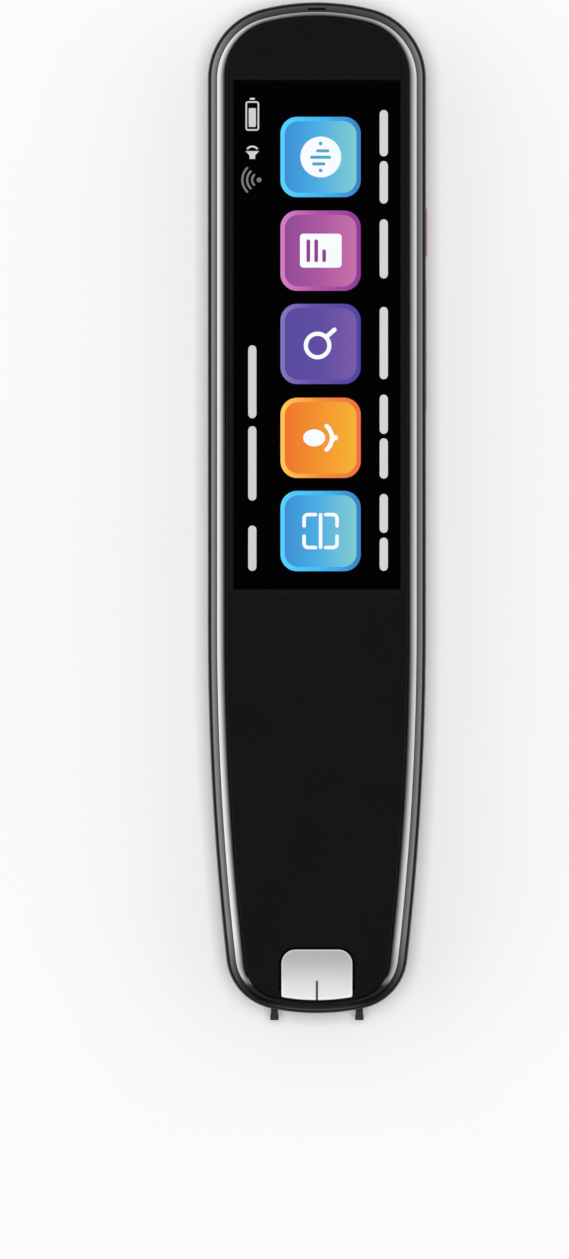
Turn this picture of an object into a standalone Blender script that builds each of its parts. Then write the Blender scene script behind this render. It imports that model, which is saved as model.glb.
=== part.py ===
"""Scanning translator pen, as an assembly of separate pieces.

The pen lies on its back. +Z points out of the display, and +Y runs from the scanning tip to the charging
socket. The origin is the centre of the flat back face, and lengths are in metres.
"""

import math

import bmesh
import bpy
from mathutils import Matrix, Vector

MM = 0.001

# Outline of the case, seen from the front
HALF_WIDTH = 15.4 * MM
TOP_Y = 71.3 * MM
TIP_Y = -71.3 * MM
TOP_DOME_RADIUS = 31.5 * MM
SHOULDER_RADIUS = 10.15 * MM
TAPER_START_Y = -17.05 * MM
TAPER_RADIUS = 417.0 * MM
CORNER_RADIUS = 7.9 * MM
TIP_DOME_RADIUS = 31.1 * MM

# Steps along each arc of the outline
DOME_STEPS = 5
SHOULDER_STEPS = 7
TAPER_STEPS = 5
CORNER_STEPS = 7

# Clearances
SEAT_GAP = 0.2 * MM
TAPE_GAP = 0.1 * MM
FIT_GAP = 0.3 * MM
KEY_GAP = 0.25 * MM
SCREW_GAP = 0.15 * MM
OVERRUN = 2.0 * MM
JOIN_OVERLAP = 0.3 * MM

# Rear shell
BACK_WALL = 1.4 * MM
SIDE_WALL = 1.5 * MM
BACK_EDGE_INSET = 4.6 * MM
BACK_EDGE_HEIGHT = 5.0 * MM
FLOOR_EDGE_INSET = 3.4 * MM
SIDE_TOP_Z = 8.0 * MM
RING_SEAT_Z = 10.4 * MM
RING_SEAT_INSET = 2.6 * MM
RING_SEAT_DEPTH = 0.8 * MM
LIP_HEIGHT = 1.1 * MM
RIM_SIDE_INSET = 1.06 * MM
RIM_TOP_INSET = 0.92 * MM
RIM_TIP_INSET = 1.0 * MM
EDGE_STEPS = 6
RIM_STEPS = 4

# Bright bezel ring and the lens that it holds
RING_GROOVE = 0.25 * MM
LENS_SIDE_INSET = 2.44 * MM
LENS_TOP_INSET = 2.06 * MM
LENS_TIP_INSET = 1.7 * MM
LEDGE_INSET = 2.9 * MM
LEDGE_THICKNESS = 0.5 * MM
TAPE_THICKNESS = 0.2 * MM
LENS_THICKNESS = 0.8 * MM
LENS_RECESS = 0.1 * MM
LENS_CHAMFER = 0.15 * MM
RING_CROWN_SHARES = ((0.0, 0.62), (0.12, 0.86), (0.38, 1.0), (0.68, 0.99), (1.0, 0.88))

# Sight window at the tip
WINDOW_FROM_SIDE = 10.4 * MM
WINDOW_HALF_WIDTH = HALF_WIDTH - WINDOW_FROM_SIDE
WINDOW_TOP_Y = -62.2 * MM
WINDOW_CORNER_RADIUS = 2.0 * MM
WINDOW_GAP = 0.28 * MM
WINDOW_PROUD = 0.05 * MM
WINDOW_FLANGE_MARGIN = 1.2 * MM
WINDOW_FLANGE_HALF_WIDTH = WINDOW_HALF_WIDTH + WINDOW_FLANGE_MARGIN
WINDOW_FLANGE_THICKNESS = 1.0 * MM
WINDOW_FLANGE_LOW_Y = -67.4 * MM
WINDOW_FLANGE_HIGH_Y = -61.2 * MM
WINDOW_CORNER_STEPS = 6

# Display stack
DISPLAY_FROM_SIDE = 3.55 * MM
DISPLAY_HALF_WIDTH = HALF_WIDTH - DISPLAY_FROM_SIDE
DISPLAY_TOP_Y = 60.3 * MM
DISPLAY_LOW_Y = -11.6 * MM
DISPLAY_SIDE_BORDER = 0.25 * MM
DISPLAY_TOP_BORDER = 0.9 * MM
DISPLAY_LOW_BORDER = 1.9 * MM
TOUCH_THICKNESS = 0.4 * MM
LCD_THICKNESS = 1.0 * MM
BACKLIGHT_THICKNESS = 0.9 * MM
DISPLAY_FLEX_WIDTH = 4.0 * MM
FLEX_THICKNESS = 0.2 * MM

# Inner chassis
CHASSIS_THICKNESS = 0.8 * MM
CHASSIS_INSET = 3.1 * MM
CHASSIS_TOP_SETBACK = 5.3 * MM
CHASSIS_TIP_SETBACK = 16.7 * MM
SPRING_SEAT_THICKNESS = 1.2 * MM
SPRING_SEAT_WIDTH = 2.4 * MM
SPRING_SEAT_HEIGHT = 5.0 * MM

# Nib fork and its springs
FOOT_X = 6.0 * MM
FOOT_PROTRUSION = 1.1 * MM
FOOT_HALF_WIDTH = 0.6 * MM
FOOT_BULB_LENGTH = 0.6 * MM
NECK_HALF_WIDTH = 0.5 * MM
LEG_HALF_WIDTH = 0.85 * MM
LEG_LOW_Z = 3.0 * MM
LEG_HEIGHT = 2.0 * MM
LEG_SHOULDER_SETBACK = 3.9 * MM
NIB_TRAVEL = 1.0 * MM
BRIDGE_DEPTH = 2.0 * MM
BRIDGE_HEIGHT = 1.0 * MM
UPRIGHT_NARROWING = 0.1 * MM
PRESS_NUB_WIDTH = 2.0 * MM
PRESS_NUB_REACH = 0.6 * MM
SPRING_LENGTH = 5.5 * MM
SPRING_OUTER_RADIUS = 0.9 * MM
SPRING_WIRE_RADIUS = 0.15 * MM
SPRING_TURNS = 7
SPRING_POINTS_PER_TURN = 8
NIB_SLOT_CLEARANCE = 0.3 * MM

# Nib switch
SWITCH_WIDTH = 4.0 * MM
SWITCH_LENGTH = 3.5 * MM
SWITCH_HEIGHT = 1.6 * MM
PLUNGER_WIDTH = 1.2 * MM
PLUNGER_HEIGHT = 0.8 * MM
PLUNGER_OUTSIDE = 0.2 * MM
PLUNGER_INSIDE = 0.6 * MM

# Scanning head
HOOD_SETBACK = 4.0 * MM
HOOD_LENGTH = 13.7 * MM
HOOD_HALF_WIDTH = 4.9 * MM
HOOD_WALL = 0.6 * MM
HOOD_FLOOR_GAP = 0.5 * MM
MOUTH_CORNER_RADIUS = 0.6 * MM
SCAN_GLASS_THICKNESS = 0.7 * MM
LED_BOARD_THICKNESS = 0.6 * MM
LED_WIDTH = 1.2 * MM
LED_DEPTH = 0.6 * MM
LED_X = 3.3 * MM
BARREL_RADIUS = 1.8 * MM
BARREL_WALL = 0.35 * MM
BARREL_LENGTH = 5.0 * MM
BARREL_CUP_DEPTH = 1.2 * MM
CAMERA_LENS_RADIUS = 1.2 * MM
CAMERA_LENS_THICKNESS = 0.5 * MM
CAMERA_LENS_BULGE = 0.25 * MM
CAMERA_MODULE_WIDTH = 6.6 * MM
CAMERA_MODULE_LENGTH = 3.0 * MM
CAMERA_FLEX_WIDTH = 3.6 * MM
FLEX_BELOW_CHASSIS = 0.4 * MM

# Battery
BATTERY_BEHIND_CAMERA = 2.0 * MM
BATTERY_LENGTH = 48.0 * MM
BATTERY_FROM_SIDE = 6.2 * MM
BATTERY_HALF_WIDTH = HALF_WIDTH - BATTERY_FROM_SIDE
BATTERY_BELOW_CHASSIS = 1.0 * MM
BATTERY_EDGE_RADIUS = 0.9 * MM
BATTERY_PAD_INSET = 3.2 * MM
BATTERY_PAD_HALF_WIDTH = BATTERY_HALF_WIDTH - BATTERY_PAD_INSET
BATTERY_PAD_MARGIN = 4.0 * MM
BATTERY_PAD_THICKNESS = 0.3 * MM
LEAD_RADIUS = 0.35 * MM
LEAD_SPACING = 1.2 * MM
LEAD_X = -5.0 * MM
LEAD_START_DROP = 2.4 * MM
LEAD_POINTS = 9
BATTERY_PLUG_WIDTH = 4.0 * MM
BATTERY_PLUG_LENGTH = 3.0 * MM
BATTERY_PLUG_HEIGHT = 1.5 * MM
BATTERY_PLUG_ON_BOARD = 2.5 * MM

# Main board
BOARD_BEHIND_BATTERY = 4.0 * MM
BOARD_TOP_SETBACK = 4.8 * MM
BOARD_FROM_SIDE = 6.4 * MM
BOARD_HALF_WIDTH = HALF_WIDTH - BOARD_FROM_SIDE
DISPLAY_FLEX_FROM_BOARD_EDGE = 2.5 * MM
DISPLAY_FLEX_X = BOARD_HALF_WIDTH - DISPLAY_FLEX_FROM_BOARD_EDGE
BOARD_THICKNESS = 0.9 * MM
CONNECTOR_LENGTH = 2.0 * MM
CONNECTOR_HEIGHT = 0.8 * MM
CONNECTOR_ON_BOARD = 0.3 * MM
PROCESSOR_WIDTH = 12.0 * MM
PROCESSOR_HEIGHT = 1.0 * MM
PROCESSOR_Y = 33.6 * MM
MEMORY_WIDTH = 8.0 * MM
MEMORY_LENGTH = 9.6 * MM
MEMORY_HEIGHT = 0.9 * MM
MEMORY_Y = 21.7 * MM
POWER_CHIP_WIDTH = 3.6 * MM
POWER_CHIP_HEIGHT = 0.8 * MM
POWER_CHIP_FROM_BOARD_EDGE = 2.6 * MM
POWER_CHIP_X = BOARD_HALF_WIDTH - POWER_CHIP_FROM_BOARD_EDGE
POWER_CHIP_Y = 13.4 * MM
CHIP_BEVEL = 0.15 * MM
BOARD_SCREW_FROM_BOARD_EDGE = 1.8 * MM
BOARD_SCREW_X = BOARD_HALF_WIDTH - BOARD_SCREW_FROM_BOARD_EDGE
BOARD_SCREW_HIGH_Y = 59.5 * MM
BOARD_SCREW_LOW_Y = 15.2 * MM
BOARD_SCREW_HEAD_RADIUS = 1.0 * MM
BOARD_SCREW_HEAD_HEIGHT = 0.6 * MM
BOARD_SCREW_RADIUS = 0.5 * MM
SHIELD_SCREW_GAP = 1.0 * MM
SHIELD_WIDTH = 2 * (BOARD_SCREW_X - BOARD_SCREW_HEAD_RADIUS - SHIELD_SCREW_GAP)
SHIELD_LENGTH = 6.2 * MM
SHIELD_HEIGHT = 1.6 * MM
SHIELD_Y = 59.3 * MM

# Charging socket
SOCKET_HALF_WIDTH = 4.47 * MM
SOCKET_HALF_HEIGHT = 1.6 * MM
SOCKET_WALL = 0.3 * MM
SOCKET_LENGTH = 7.4 * MM
SOCKET_SETBACK = 0.6 * MM
SOCKET_REAR_WALL = 0.6 * MM
SOCKET_CORNER_STEPS = 5
TONGUE_HALF_WIDTH = 3.35 * MM
TONGUE_THICKNESS = 0.7 * MM
TONGUE_SETBACK = 0.7 * MM
PORT_CLEARANCE = 0.4 * MM

# Microphones
MIC_X = 7.0 * MM
MIC_WIDTH = 2.8 * MM
MIC_LENGTH = 2.6 * MM
MIC_HEIGHT = 1.0 * MM
MIC_HOLE_RADIUS = 0.45 * MM
TOP_SLOT_HALF_WIDTH = 1.4 * MM
TOP_SLOT_WIDTH = 0.2 * MM
TOP_SLOT_DEPTH = 0.6 * MM

# Speaker and its sound slots
SPEAKER_SHIELD_GAP = 0.7 * MM
SPEAKER_WIDTH = 11.0 * MM
SPEAKER_LENGTH = 15.0 * MM
SPEAKER_HEIGHT = 2.8 * MM
SPEAKER_CONE_RADIUS = 4.2 * MM
SPEAKER_CONE_HEIGHT = 0.9 * MM
SPEAKER_CONE_THICKNESS = 0.35 * MM
GASKET_THICKNESS = 0.3 * MM
GASKET_WIDTH = 0.9 * MM
MESH_THICKNESS = 0.2 * MM
GRILLE_SLOTS = 5
GRILLE_SLOT_LENGTH = 8.0 * MM
GRILLE_SLOT_WIDTH = 0.9 * MM
GRILLE_PITCH = 1.9 * MM
GRILLE_CORNER_STEPS = 3

# Side keys
KEY_BELOW_CHASSIS = 1.4 * MM
KEY_HALF_HEIGHT = 1.2 * MM
POWER_Y = 38.9 * MM
POWER_LENGTH = 6.8 * MM
POWER_PROUD = 0.1 * MM
POWER_TRAVEL = 0.25 * MM
ROCKER_Y = 22.95 * MM
ROCKER_LENGTH = 18.3 * MM
ROCKER_PROUD = 0.05 * MM
ROCKER_SWITCH_SPACING = 12.0 * MM
KEY_EDGE_RADIUS = 0.2 * MM
KEY_CORNER_STEPS = 6
KEY_FLANGE_MARGIN = 0.5 * MM
KEY_FLANGE_THICKNESS = 0.7 * MM
KEY_FLANGE_GAP = 0.4 * MM
KEY_PLUNGER_RADIUS = 0.6 * MM
KEY_PLUNGER_LENGTH = 0.5 * MM
KEY_SWITCH_WIDTH = 2.4 * MM
KEY_SWITCH_HEIGHT = 2.0 * MM
KEY_SWITCH_DEPTH = 0.7 * MM
KEY_BOARD_THICKNESS = 0.6 * MM
KEY_BOARD_HEIGHT = 2.6 * MM
KEY_BOARD_MARGIN = 1.2 * MM
ROCKER_RIB_WIDTH = 1.0 * MM

# Antenna strip on the left wall
ANTENNA_THICKNESS = 0.3 * MM
ANTENNA_LOW_Y = 20.0 * MM
ANTENNA_LENGTH = 30.0 * MM
ANTENNA_HEIGHT = 2.4 * MM

# Case screws and their posts
CASE_SCREW_TOP_FROM_SIDE = 4.5 * MM
CASE_SCREW_TOP_X = HALF_WIDTH - CASE_SCREW_TOP_FROM_SIDE
CASE_SCREW_TOP_Y = 50.0 * MM
CASE_SCREW_TIP_FROM_SIDE = 6.0 * MM
CASE_SCREW_TIP_X = HALF_WIDTH - CASE_SCREW_TIP_FROM_SIDE
CASE_SCREW_BELOW_BATTERY = 3.5 * MM
POST_RADIUS = 1.6 * MM
CASE_SCREW_HEAD_RADIUS = 1.3 * MM
CASE_SCREW_HEAD_HEIGHT = 0.7 * MM
CASE_SCREW_RADIUS = 0.6 * MM
CASE_SCREW_RECESS = 0.25 * MM
CASE_SCREW_DRIVE_WIDTH = 0.35 * MM
CASE_SCREW_DRIVE_LENGTH = 1.5 * MM
CASE_SCREW_DRIVE_DEPTH = 0.35 * MM

# Sides of round pieces
ROUND_SIDES = 20
SMALL_ROUND_SIDES = 12
CONE_SIDES = 24
WIRE_RESOLUTION = 1
WELD_DISTANCE = 0.002 * MM
SMOOTH_ANGLE = math.radians(35)

# Worked out from the sizes above: heights, from the seat of the bezel ring
LIP_TOP_Z = RING_SEAT_Z + LIP_HEIGHT
RING_LOW_Z = RING_SEAT_Z + SEAT_GAP
LEDGE_TOP_Z = RING_LOW_Z + LEDGE_THICKNESS
TAPE_LOW_Z = LEDGE_TOP_Z + TAPE_GAP
LENS_LOW_Z = TAPE_LOW_Z + TAPE_THICKNESS + TAPE_GAP
LENS_TOP_Z = LENS_LOW_Z + LENS_THICKNESS
RING_TOP_Z = LENS_TOP_Z + LENS_RECESS
TOUCH_TOP_Z = LENS_LOW_Z - SEAT_GAP
LCD_TOP_Z = TOUCH_TOP_Z - TOUCH_THICKNESS - SEAT_GAP
BACKLIGHT_TOP_Z = LCD_TOP_Z - LCD_THICKNESS - SEAT_GAP
CHASSIS_TOP_Z = BACKLIGHT_TOP_Z - BACKLIGHT_THICKNESS - SEAT_GAP
CHASSIS_LOW_Z = CHASSIS_TOP_Z - CHASSIS_THICKNESS
BOARD_TOP_Z = CHASSIS_LOW_Z - FIT_GAP
BOARD_LOW_Z = BOARD_TOP_Z - BOARD_THICKNESS
CHIP_TOP_Z = BOARD_LOW_Z - SEAT_GAP
BATTERY_TOP_Z = CHASSIS_LOW_Z - BATTERY_BELOW_CHASSIS
BATTERY_LOW_Z = BACK_WALL + TAPE_GAP + BATTERY_PAD_THICKNESS + TAPE_GAP
FLEX_TOP_Z = CHASSIS_LOW_Z - FLEX_BELOW_CHASSIS
KEY_Z = CHASSIS_LOW_Z - KEY_BELOW_CHASSIS
SOCKET_Z = CHASSIS_LOW_Z - FIT_GAP - SOCKET_HALF_HEIGHT
HEAD_TOP_Z = CHASSIS_LOW_Z - FIT_GAP
HEAD_LOW_Z = BACK_WALL + HOOD_FLOOR_GAP
HEAD_Z = (HEAD_TOP_Z + HEAD_LOW_Z) / 2
LEG_Z = LEG_LOW_Z + LEG_HEIGHT / 2
SWITCH_LOW_Z = CHASSIS_TOP_Z + SEAT_GAP
SWITCH_Z = SWITCH_LOW_Z + SWITCH_HEIGHT / 2

# Worked out from the sizes above: places along the pen, from the tip
HOOD_FRONT_Y = TIP_Y + HOOD_SETBACK
HOOD_REAR_Y = HOOD_FRONT_Y + HOOD_LENGTH
LED_BOARD_FRONT_Y = HOOD_REAR_Y + SEAT_GAP
LED_BOARD_REAR_Y = LED_BOARD_FRONT_Y + LED_BOARD_THICKNESS
BARREL_FRONT_Y = HOOD_REAR_Y - LED_DEPTH
BARREL_REAR_Y = BARREL_FRONT_Y + BARREL_LENGTH
CAMERA_FRONT_Y = BARREL_REAR_Y + SEAT_GAP
CAMERA_REAR_Y = CAMERA_FRONT_Y + CAMERA_MODULE_LENGTH
BATTERY_LOW_Y = CAMERA_REAR_Y + BATTERY_BEHIND_CAMERA
BATTERY_HIGH_Y = BATTERY_LOW_Y + BATTERY_LENGTH
BOARD_LOW_Y = BATTERY_HIGH_Y + BOARD_BEHIND_BATTERY
BOARD_HIGH_Y = TOP_Y - BOARD_TOP_SETBACK
SOCKET_MOUTH_Y = TOP_Y - SOCKET_SETBACK
SOCKET_REAR_Y = SOCKET_MOUTH_Y - SOCKET_LENGTH
SPEAKER_Y = SHIELD_Y - SHIELD_LENGTH / 2 - SPEAKER_SHIELD_GAP - SPEAKER_LENGTH / 2
CHASSIS_LOW_Y = TIP_Y + CHASSIS_TIP_SETBACK
CHASSIS_HIGH_Y = TOP_Y - CHASSIS_TOP_SETBACK
LCD_LOW_Y = DISPLAY_LOW_Y - DISPLAY_LOW_BORDER
LCD_HIGH_Y = DISPLAY_TOP_Y + DISPLAY_TOP_BORDER
LCD_HALF_WIDTH = DISPLAY_HALF_WIDTH + DISPLAY_SIDE_BORDER
SWITCH_FRONT_Y = CHASSIS_LOW_Y + FIT_GAP
PLUNGER_FRONT_Y = SWITCH_FRONT_Y - NIB_TRAVEL - PLUNGER_OUTSIDE - SEAT_GAP
NUB_Y = PLUNGER_FRONT_Y - SEAT_GAP
LEG_REAR_Y = NUB_Y - PRESS_NUB_REACH
SPRING_FRONT_Y = LEG_REAR_Y + SEAT_GAP
SPRING_REAR_Y = SPRING_FRONT_Y + SPRING_LENGTH
SPRING_SEAT_Y = SPRING_REAR_Y + SEAT_GAP
FOOT_TIP_Y = TIP_Y - FOOT_PROTRUSION
LEG_SHOULDER_Y = TIP_Y + LEG_SHOULDER_SETBACK
CASE_SCREW_TIP_Y = BATTERY_LOW_Y - CASE_SCREW_BELOW_BATTERY
CASE_SCREW_TIP_Z = CHASSIS_TOP_Z - SEAT_GAP

# Worked out from the sizes above: places across the pen, from the right wall inwards
WALL_INNER_X = HALF_WIDTH - SIDE_WALL
KEY_FLANGE_OUTER_X = WALL_INNER_X - KEY_FLANGE_GAP
KEY_FLANGE_INNER_X = KEY_FLANGE_OUTER_X - KEY_FLANGE_THICKNESS
KEY_PLUNGER_OUTER_X = KEY_FLANGE_INNER_X - TAPE_GAP
KEY_PLUNGER_INNER_X = KEY_PLUNGER_OUTER_X - KEY_PLUNGER_LENGTH
KEY_SWITCH_OUTER_X = KEY_PLUNGER_INNER_X - POWER_TRAVEL - TAPE_GAP
KEY_SWITCH_INNER_X = KEY_SWITCH_OUTER_X - KEY_SWITCH_DEPTH
KEY_BOARD_OUTER_X = KEY_SWITCH_INNER_X - TAPE_GAP
KEY_BOARD_INNER_X = KEY_BOARD_OUTER_X - KEY_BOARD_THICKNESS
ROCKER_PIVOT_X = KEY_BOARD_OUTER_X + FIT_GAP

CASE_SCREW_PLACES = (
    (CASE_SCREW_TOP_X, CASE_SCREW_TOP_Y),
    (-CASE_SCREW_TOP_X, CASE_SCREW_TOP_Y),
    (CASE_SCREW_TIP_X, CASE_SCREW_TIP_Y),
    (-CASE_SCREW_TIP_X, CASE_SCREW_TIP_Y),
)
BOARD_SCREW_PLACES = (
    (BOARD_SCREW_X, BOARD_SCREW_HIGH_Y),
    (-BOARD_SCREW_X, BOARD_SCREW_LOW_Y),
)

# Insets from the silhouette, as side, top and tip
FULL_SIZE = (0.0, 0.0, 0.0)
RIM_INSETS = (RIM_SIDE_INSET, RIM_TOP_INSET, RIM_TIP_INSET)
RING_INSETS = tuple(inset + RING_GROOVE for inset in RIM_INSETS)
LENS_INSETS = (LENS_SIDE_INSET, LENS_TOP_INSET, LENS_TIP_INSET)
RING_INNER_INSETS = tuple(inset - SEAT_GAP for inset in LENS_INSETS)


# Scene and collections

def clear_scene():
    for old in list(bpy.data.objects):
        bpy.data.objects.remove(old, do_unlink=True)


def new_collection(name):
    collection = bpy.data.collections.new(name)
    bpy.context.scene.collection.children.link(collection)
    return collection


clear_scene()
PARTS = new_collection("scan_translator")
CUTTERS = new_collection("cutters")


# Materials

def finish(name, colour, roughness, metallic=0.0, alpha=1.0):
    """A Principled material with one colour, for a piece of its own."""
    material = bpy.data.materials.new(name)
    material.use_nodes = True
    shader = material.node_tree.nodes["Principled BSDF"]
    shader.inputs["Base Color"].default_value = (*colour, 1.0)
    shader.inputs["Roughness"].default_value = roughness
    shader.inputs["Metallic"].default_value = metallic
    shader.inputs["Alpha"].default_value = alpha
    material.diffuse_color = (*colour, alpha)
    return material


# Outlines

def arc_points(centre, radius, start, end, steps):
    """Points along an arc, from the start angle up to, but without, the end angle."""
    angles = [start + (end - start) * step / steps for step in range(steps)]
    return [
        (centre[0] + radius * math.cos(angle), centre[1] + radius * math.sin(angle))
        for angle in angles
    ]


def angle_between(origin, target):
    return math.atan2(target[1] - origin[1], target[0] - origin[0])


def circle_crossing(first, first_radius, second, second_radius):
    """The crossing of two circles that lies on the tip side."""
    across = Vector(second) - Vector(first)
    distance = across.length
    along = (distance**2 + first_radius**2 - second_radius**2) / (2 * distance)
    height = math.sqrt(first_radius**2 - along**2)
    direction = across / distance
    side = Vector((direction.y, -direction.x))
    crossings = [Vector(first) + direction * along + side * height * sign for sign in (1, -1)]
    return min(crossings, key=lambda point: point.y)


def pen_outline(insets):
    """The front outline, drawn in by a side, a top and a tip inset, as one closed ring of points.

    A wide dome, a shoulder, a straight side, a long shallow taper, a corner and the dome of the tip meet
    tangentially, and the right half is mirrored to the left.
    """
    side, top, tip = insets
    dome_radius = TOP_DOME_RADIUS - side
    shoulder_radius = SHOULDER_RADIUS - side
    corner_radius = CORNER_RADIUS - side
    tip_radius = TIP_DOME_RADIUS - side
    dome = (0.0, TOP_Y - top - dome_radius)
    shoulder_x = HALF_WIDTH - SHOULDER_RADIUS
    shoulder_rise = math.sqrt((dome_radius - shoulder_radius) ** 2 - shoulder_x**2)
    shoulder = (shoulder_x, dome[1] + shoulder_rise)
    taper = (HALF_WIDTH - TAPER_RADIUS, TAPER_START_Y)
    tip_dome = (0.0, TIP_Y + tip + tip_radius)
    corner = circle_crossing(
        taper, TAPER_RADIUS - CORNER_RADIUS, tip_dome, TIP_DOME_RADIUS - CORNER_RADIUS
    )
    dome_end = angle_between(dome, shoulder)
    taper_end = angle_between(taper, corner)
    corner_end = angle_between(tip_dome, corner)
    up, down = math.pi / 2, -math.pi / 2
    half = arc_points(dome, dome_radius, up, dome_end, DOME_STEPS)
    half += arc_points(shoulder, shoulder_radius, dome_end, 0.0, SHOULDER_STEPS)
    half.append((HALF_WIDTH - side, shoulder[1]))
    half += arc_points(taper, TAPER_RADIUS - side, 0.0, taper_end, TAPER_STEPS)
    half += arc_points(corner, corner_radius, taper_end, corner_end, CORNER_STEPS)
    half += arc_points(tip_dome, tip_radius, corner_end, down, DOME_STEPS)
    half.append((0.0, TIP_Y + tip))
    mirrored = [(-x, y) for x, y in reversed(half[1:-1])]
    return half + mirrored


def even(inset):
    return (inset, inset, inset)


def blend_insets(first, second, share):
    return tuple(a + (b - a) * share for a, b in zip(first, second))


def trimmed(outline, low_y, high_y):
    """A convex outline with all that lies past two crosswise lines cut away."""
    for limit, sign in ((low_y, 1), (high_y, -1)):
        kept = []
        for start, end in zip(outline, outline[1:] + outline[:1]):
            start_in = sign * (start[1] - limit) >= 0
            end_in = sign * (end[1] - limit) >= 0
            if start_in:
                kept.append(start)
            if start_in != end_in:
                share = (limit - start[1]) / (end[1] - start[1])
                kept.append((start[0] + (end[0] - start[0]) * share, limit))
        outline = kept
    return outline


def rounded_rectangle(half_x, half_y, radius, steps):
    """A rectangle about the origin with round corners, as a closed ring of points."""
    points = []
    quarter = math.pi / 2
    for turn, (sign_x, sign_y) in enumerate(((1, 1), (-1, 1), (-1, -1), (1, -1))):
        centre = (sign_x * (half_x - radius), sign_y * (half_y - radius))
        start = turn * quarter
        points += arc_points(centre, radius, start, start + quarter, steps)
        end = start + quarter
        points.append((centre[0] + radius * math.cos(end), centre[1] + radius * math.sin(end)))
    return points


def moved(outline, x, y):
    return [(point[0] + x, point[1] + y) for point in outline]


# Shape helpers

def add_object(name, data, material, location=(0.0, 0.0, 0.0)):
    piece = bpy.data.objects.new(name, data)
    piece.location = location
    if material:
        data.materials.append(material)
    PARTS.objects.link(piece)
    return piece


def mesh_from(bm, name):
    mesh = bpy.data.meshes.new(name)
    bmesh.ops.recalc_face_normals(bm, faces=bm.faces)
    bm.to_mesh(mesh)
    bm.free()
    return mesh


def block(name, low, high, material, edge=0.0, segments=2):
    """A box between two corners, with rounded edges where an edge radius is given."""
    size = Vector(high) - Vector(low)
    bm = bmesh.new()
    bmesh.ops.create_cube(bm, size=1)
    bmesh.ops.scale(bm, vec=size, verts=bm.verts)
    piece = add_object(name, mesh_from(bm, name), material, (Vector(high) + Vector(low)) / 2)
    if edge:
        bevel = piece.modifiers.new("round_edges", "BEVEL")
        bevel.width = edge
        bevel.segments = segments
    return piece


def smooth(piece):
    piece.data.shade_smooth()
    piece.data.set_sharp_from_angle(angle=SMOOTH_ANGLE)


def rod(name, start, end, radius, material, sides=ROUND_SIDES):
    """A cylinder from one point to another."""
    along = Vector(end) - Vector(start)
    bm = bmesh.new()
    bmesh.ops.create_cone(
        bm, cap_ends=True, segments=sides, radius1=radius, radius2=radius, depth=along.length
    )
    piece = add_object(name, mesh_from(bm, name), material, (Vector(start) + Vector(end)) / 2)
    piece.rotation_euler = along.to_track_quat("Z", "Y").to_euler()
    smooth(piece)
    return piece


# Local axes of a flat outline, as columns: where its own X, its own Y and its thickness point
AXES = {
    "X": Matrix(((0, 0, 1), (1, 0, 0), (0, 1, 0))),
    "Y": Matrix(((1, 0, 0), (0, 0, -1), (0, 1, 0))),
    "Z": Matrix.Identity(3),
}


def as_mesh(curve_object, material):
    """Turns a curve object into a mesh object of the same name with welded caps."""
    name = curve_object.name
    curve_object.name = name + "_curve"
    bpy.context.view_layer.update()
    evaluated = curve_object.evaluated_get(bpy.context.evaluated_depsgraph_get())
    mesh = bpy.data.meshes.new_from_object(evaluated)
    mesh.name = name
    bm = bmesh.new()
    bm.from_mesh(mesh)
    bmesh.ops.remove_doubles(bm, verts=bm.verts, dist=WELD_DISTANCE)
    bmesh.ops.recalc_face_normals(bm, faces=bm.faces)
    bm.to_mesh(mesh)
    bm.free()
    mesh.materials.clear()
    piece = add_object(name, mesh, material)
    piece.matrix_world = curve_object.matrix_world
    bpy.data.objects.remove(curve_object, do_unlink=True)
    return piece


def extruded(name, outline, low, high, material, axis="Z"):
    """A flat outline given thickness from low to high along an axis of the pen."""
    curve = bpy.data.curves.new(name, "CURVE")
    curve.dimensions = "2D"
    curve.fill_mode = "BOTH"
    curve.extrude = (high - low) / 2
    spline = curve.splines.new("POLY")
    spline.points.add(len(outline) - 1)
    for point, (u, v) in zip(spline.points, outline):
        point.co = (u, v, 0.0, 1.0)
    spline.use_cyclic_u = True
    flat = bpy.data.objects.new(name, curve)
    PARTS.objects.link(flat)
    turn = AXES[axis]
    middle = (high + low) / 2 * (-1 if axis == "Y" else 1)
    flat.matrix_world = turn.to_4x4() @ Matrix.Translation((0.0, 0.0, middle))
    return as_mesh(flat, material)


def lofted(name, rings, material, closed=False):
    """A skin over rings of as many points each, with flat ends or closed on itself."""
    bm = bmesh.new()
    loops = [[bm.verts.new(point) for point in ring] for ring in rings]
    pairs = list(zip(loops, loops[1:]))
    if closed:
        pairs.append((loops[-1], loops[0]))
    else:
        bm.faces.new(loops[0])
        bm.faces.new(loops[-1])
    for near, far in pairs:
        for index in range(len(near)):
            after = (index + 1) % len(near)
            bm.faces.new((near[index], near[after], far[after], far[index]))
    piece = add_object(name, mesh_from(bm, name), material)
    smooth(piece)
    return piece


def outline_ring(insets, z):
    return [(x, y, z) for x, y in pen_outline(insets)]


def turned(name, profile, material, sides=ROUND_SIDES):
    """A profile of radius and height, from the top down its outer side, turned about Z."""
    bm = bmesh.new()
    points = [bm.verts.new((radius, 0.0, height)) for radius, height in profile]
    for start, end in zip(points, points[1:]):
        bm.edges.new((start, end))
    mesh = bpy.data.meshes.new(name)
    bm.to_mesh(mesh)
    bm.free()
    piece = add_object(name, mesh, material)
    screw = piece.modifiers.new("turn", "SCREW")
    screw.steps = sides
    screw.render_steps = sides
    screw.use_merge_vertices = True
    screw.merge_threshold = WELD_DISTANCE
    screw.use_smooth_shade = True
    return piece


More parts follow.
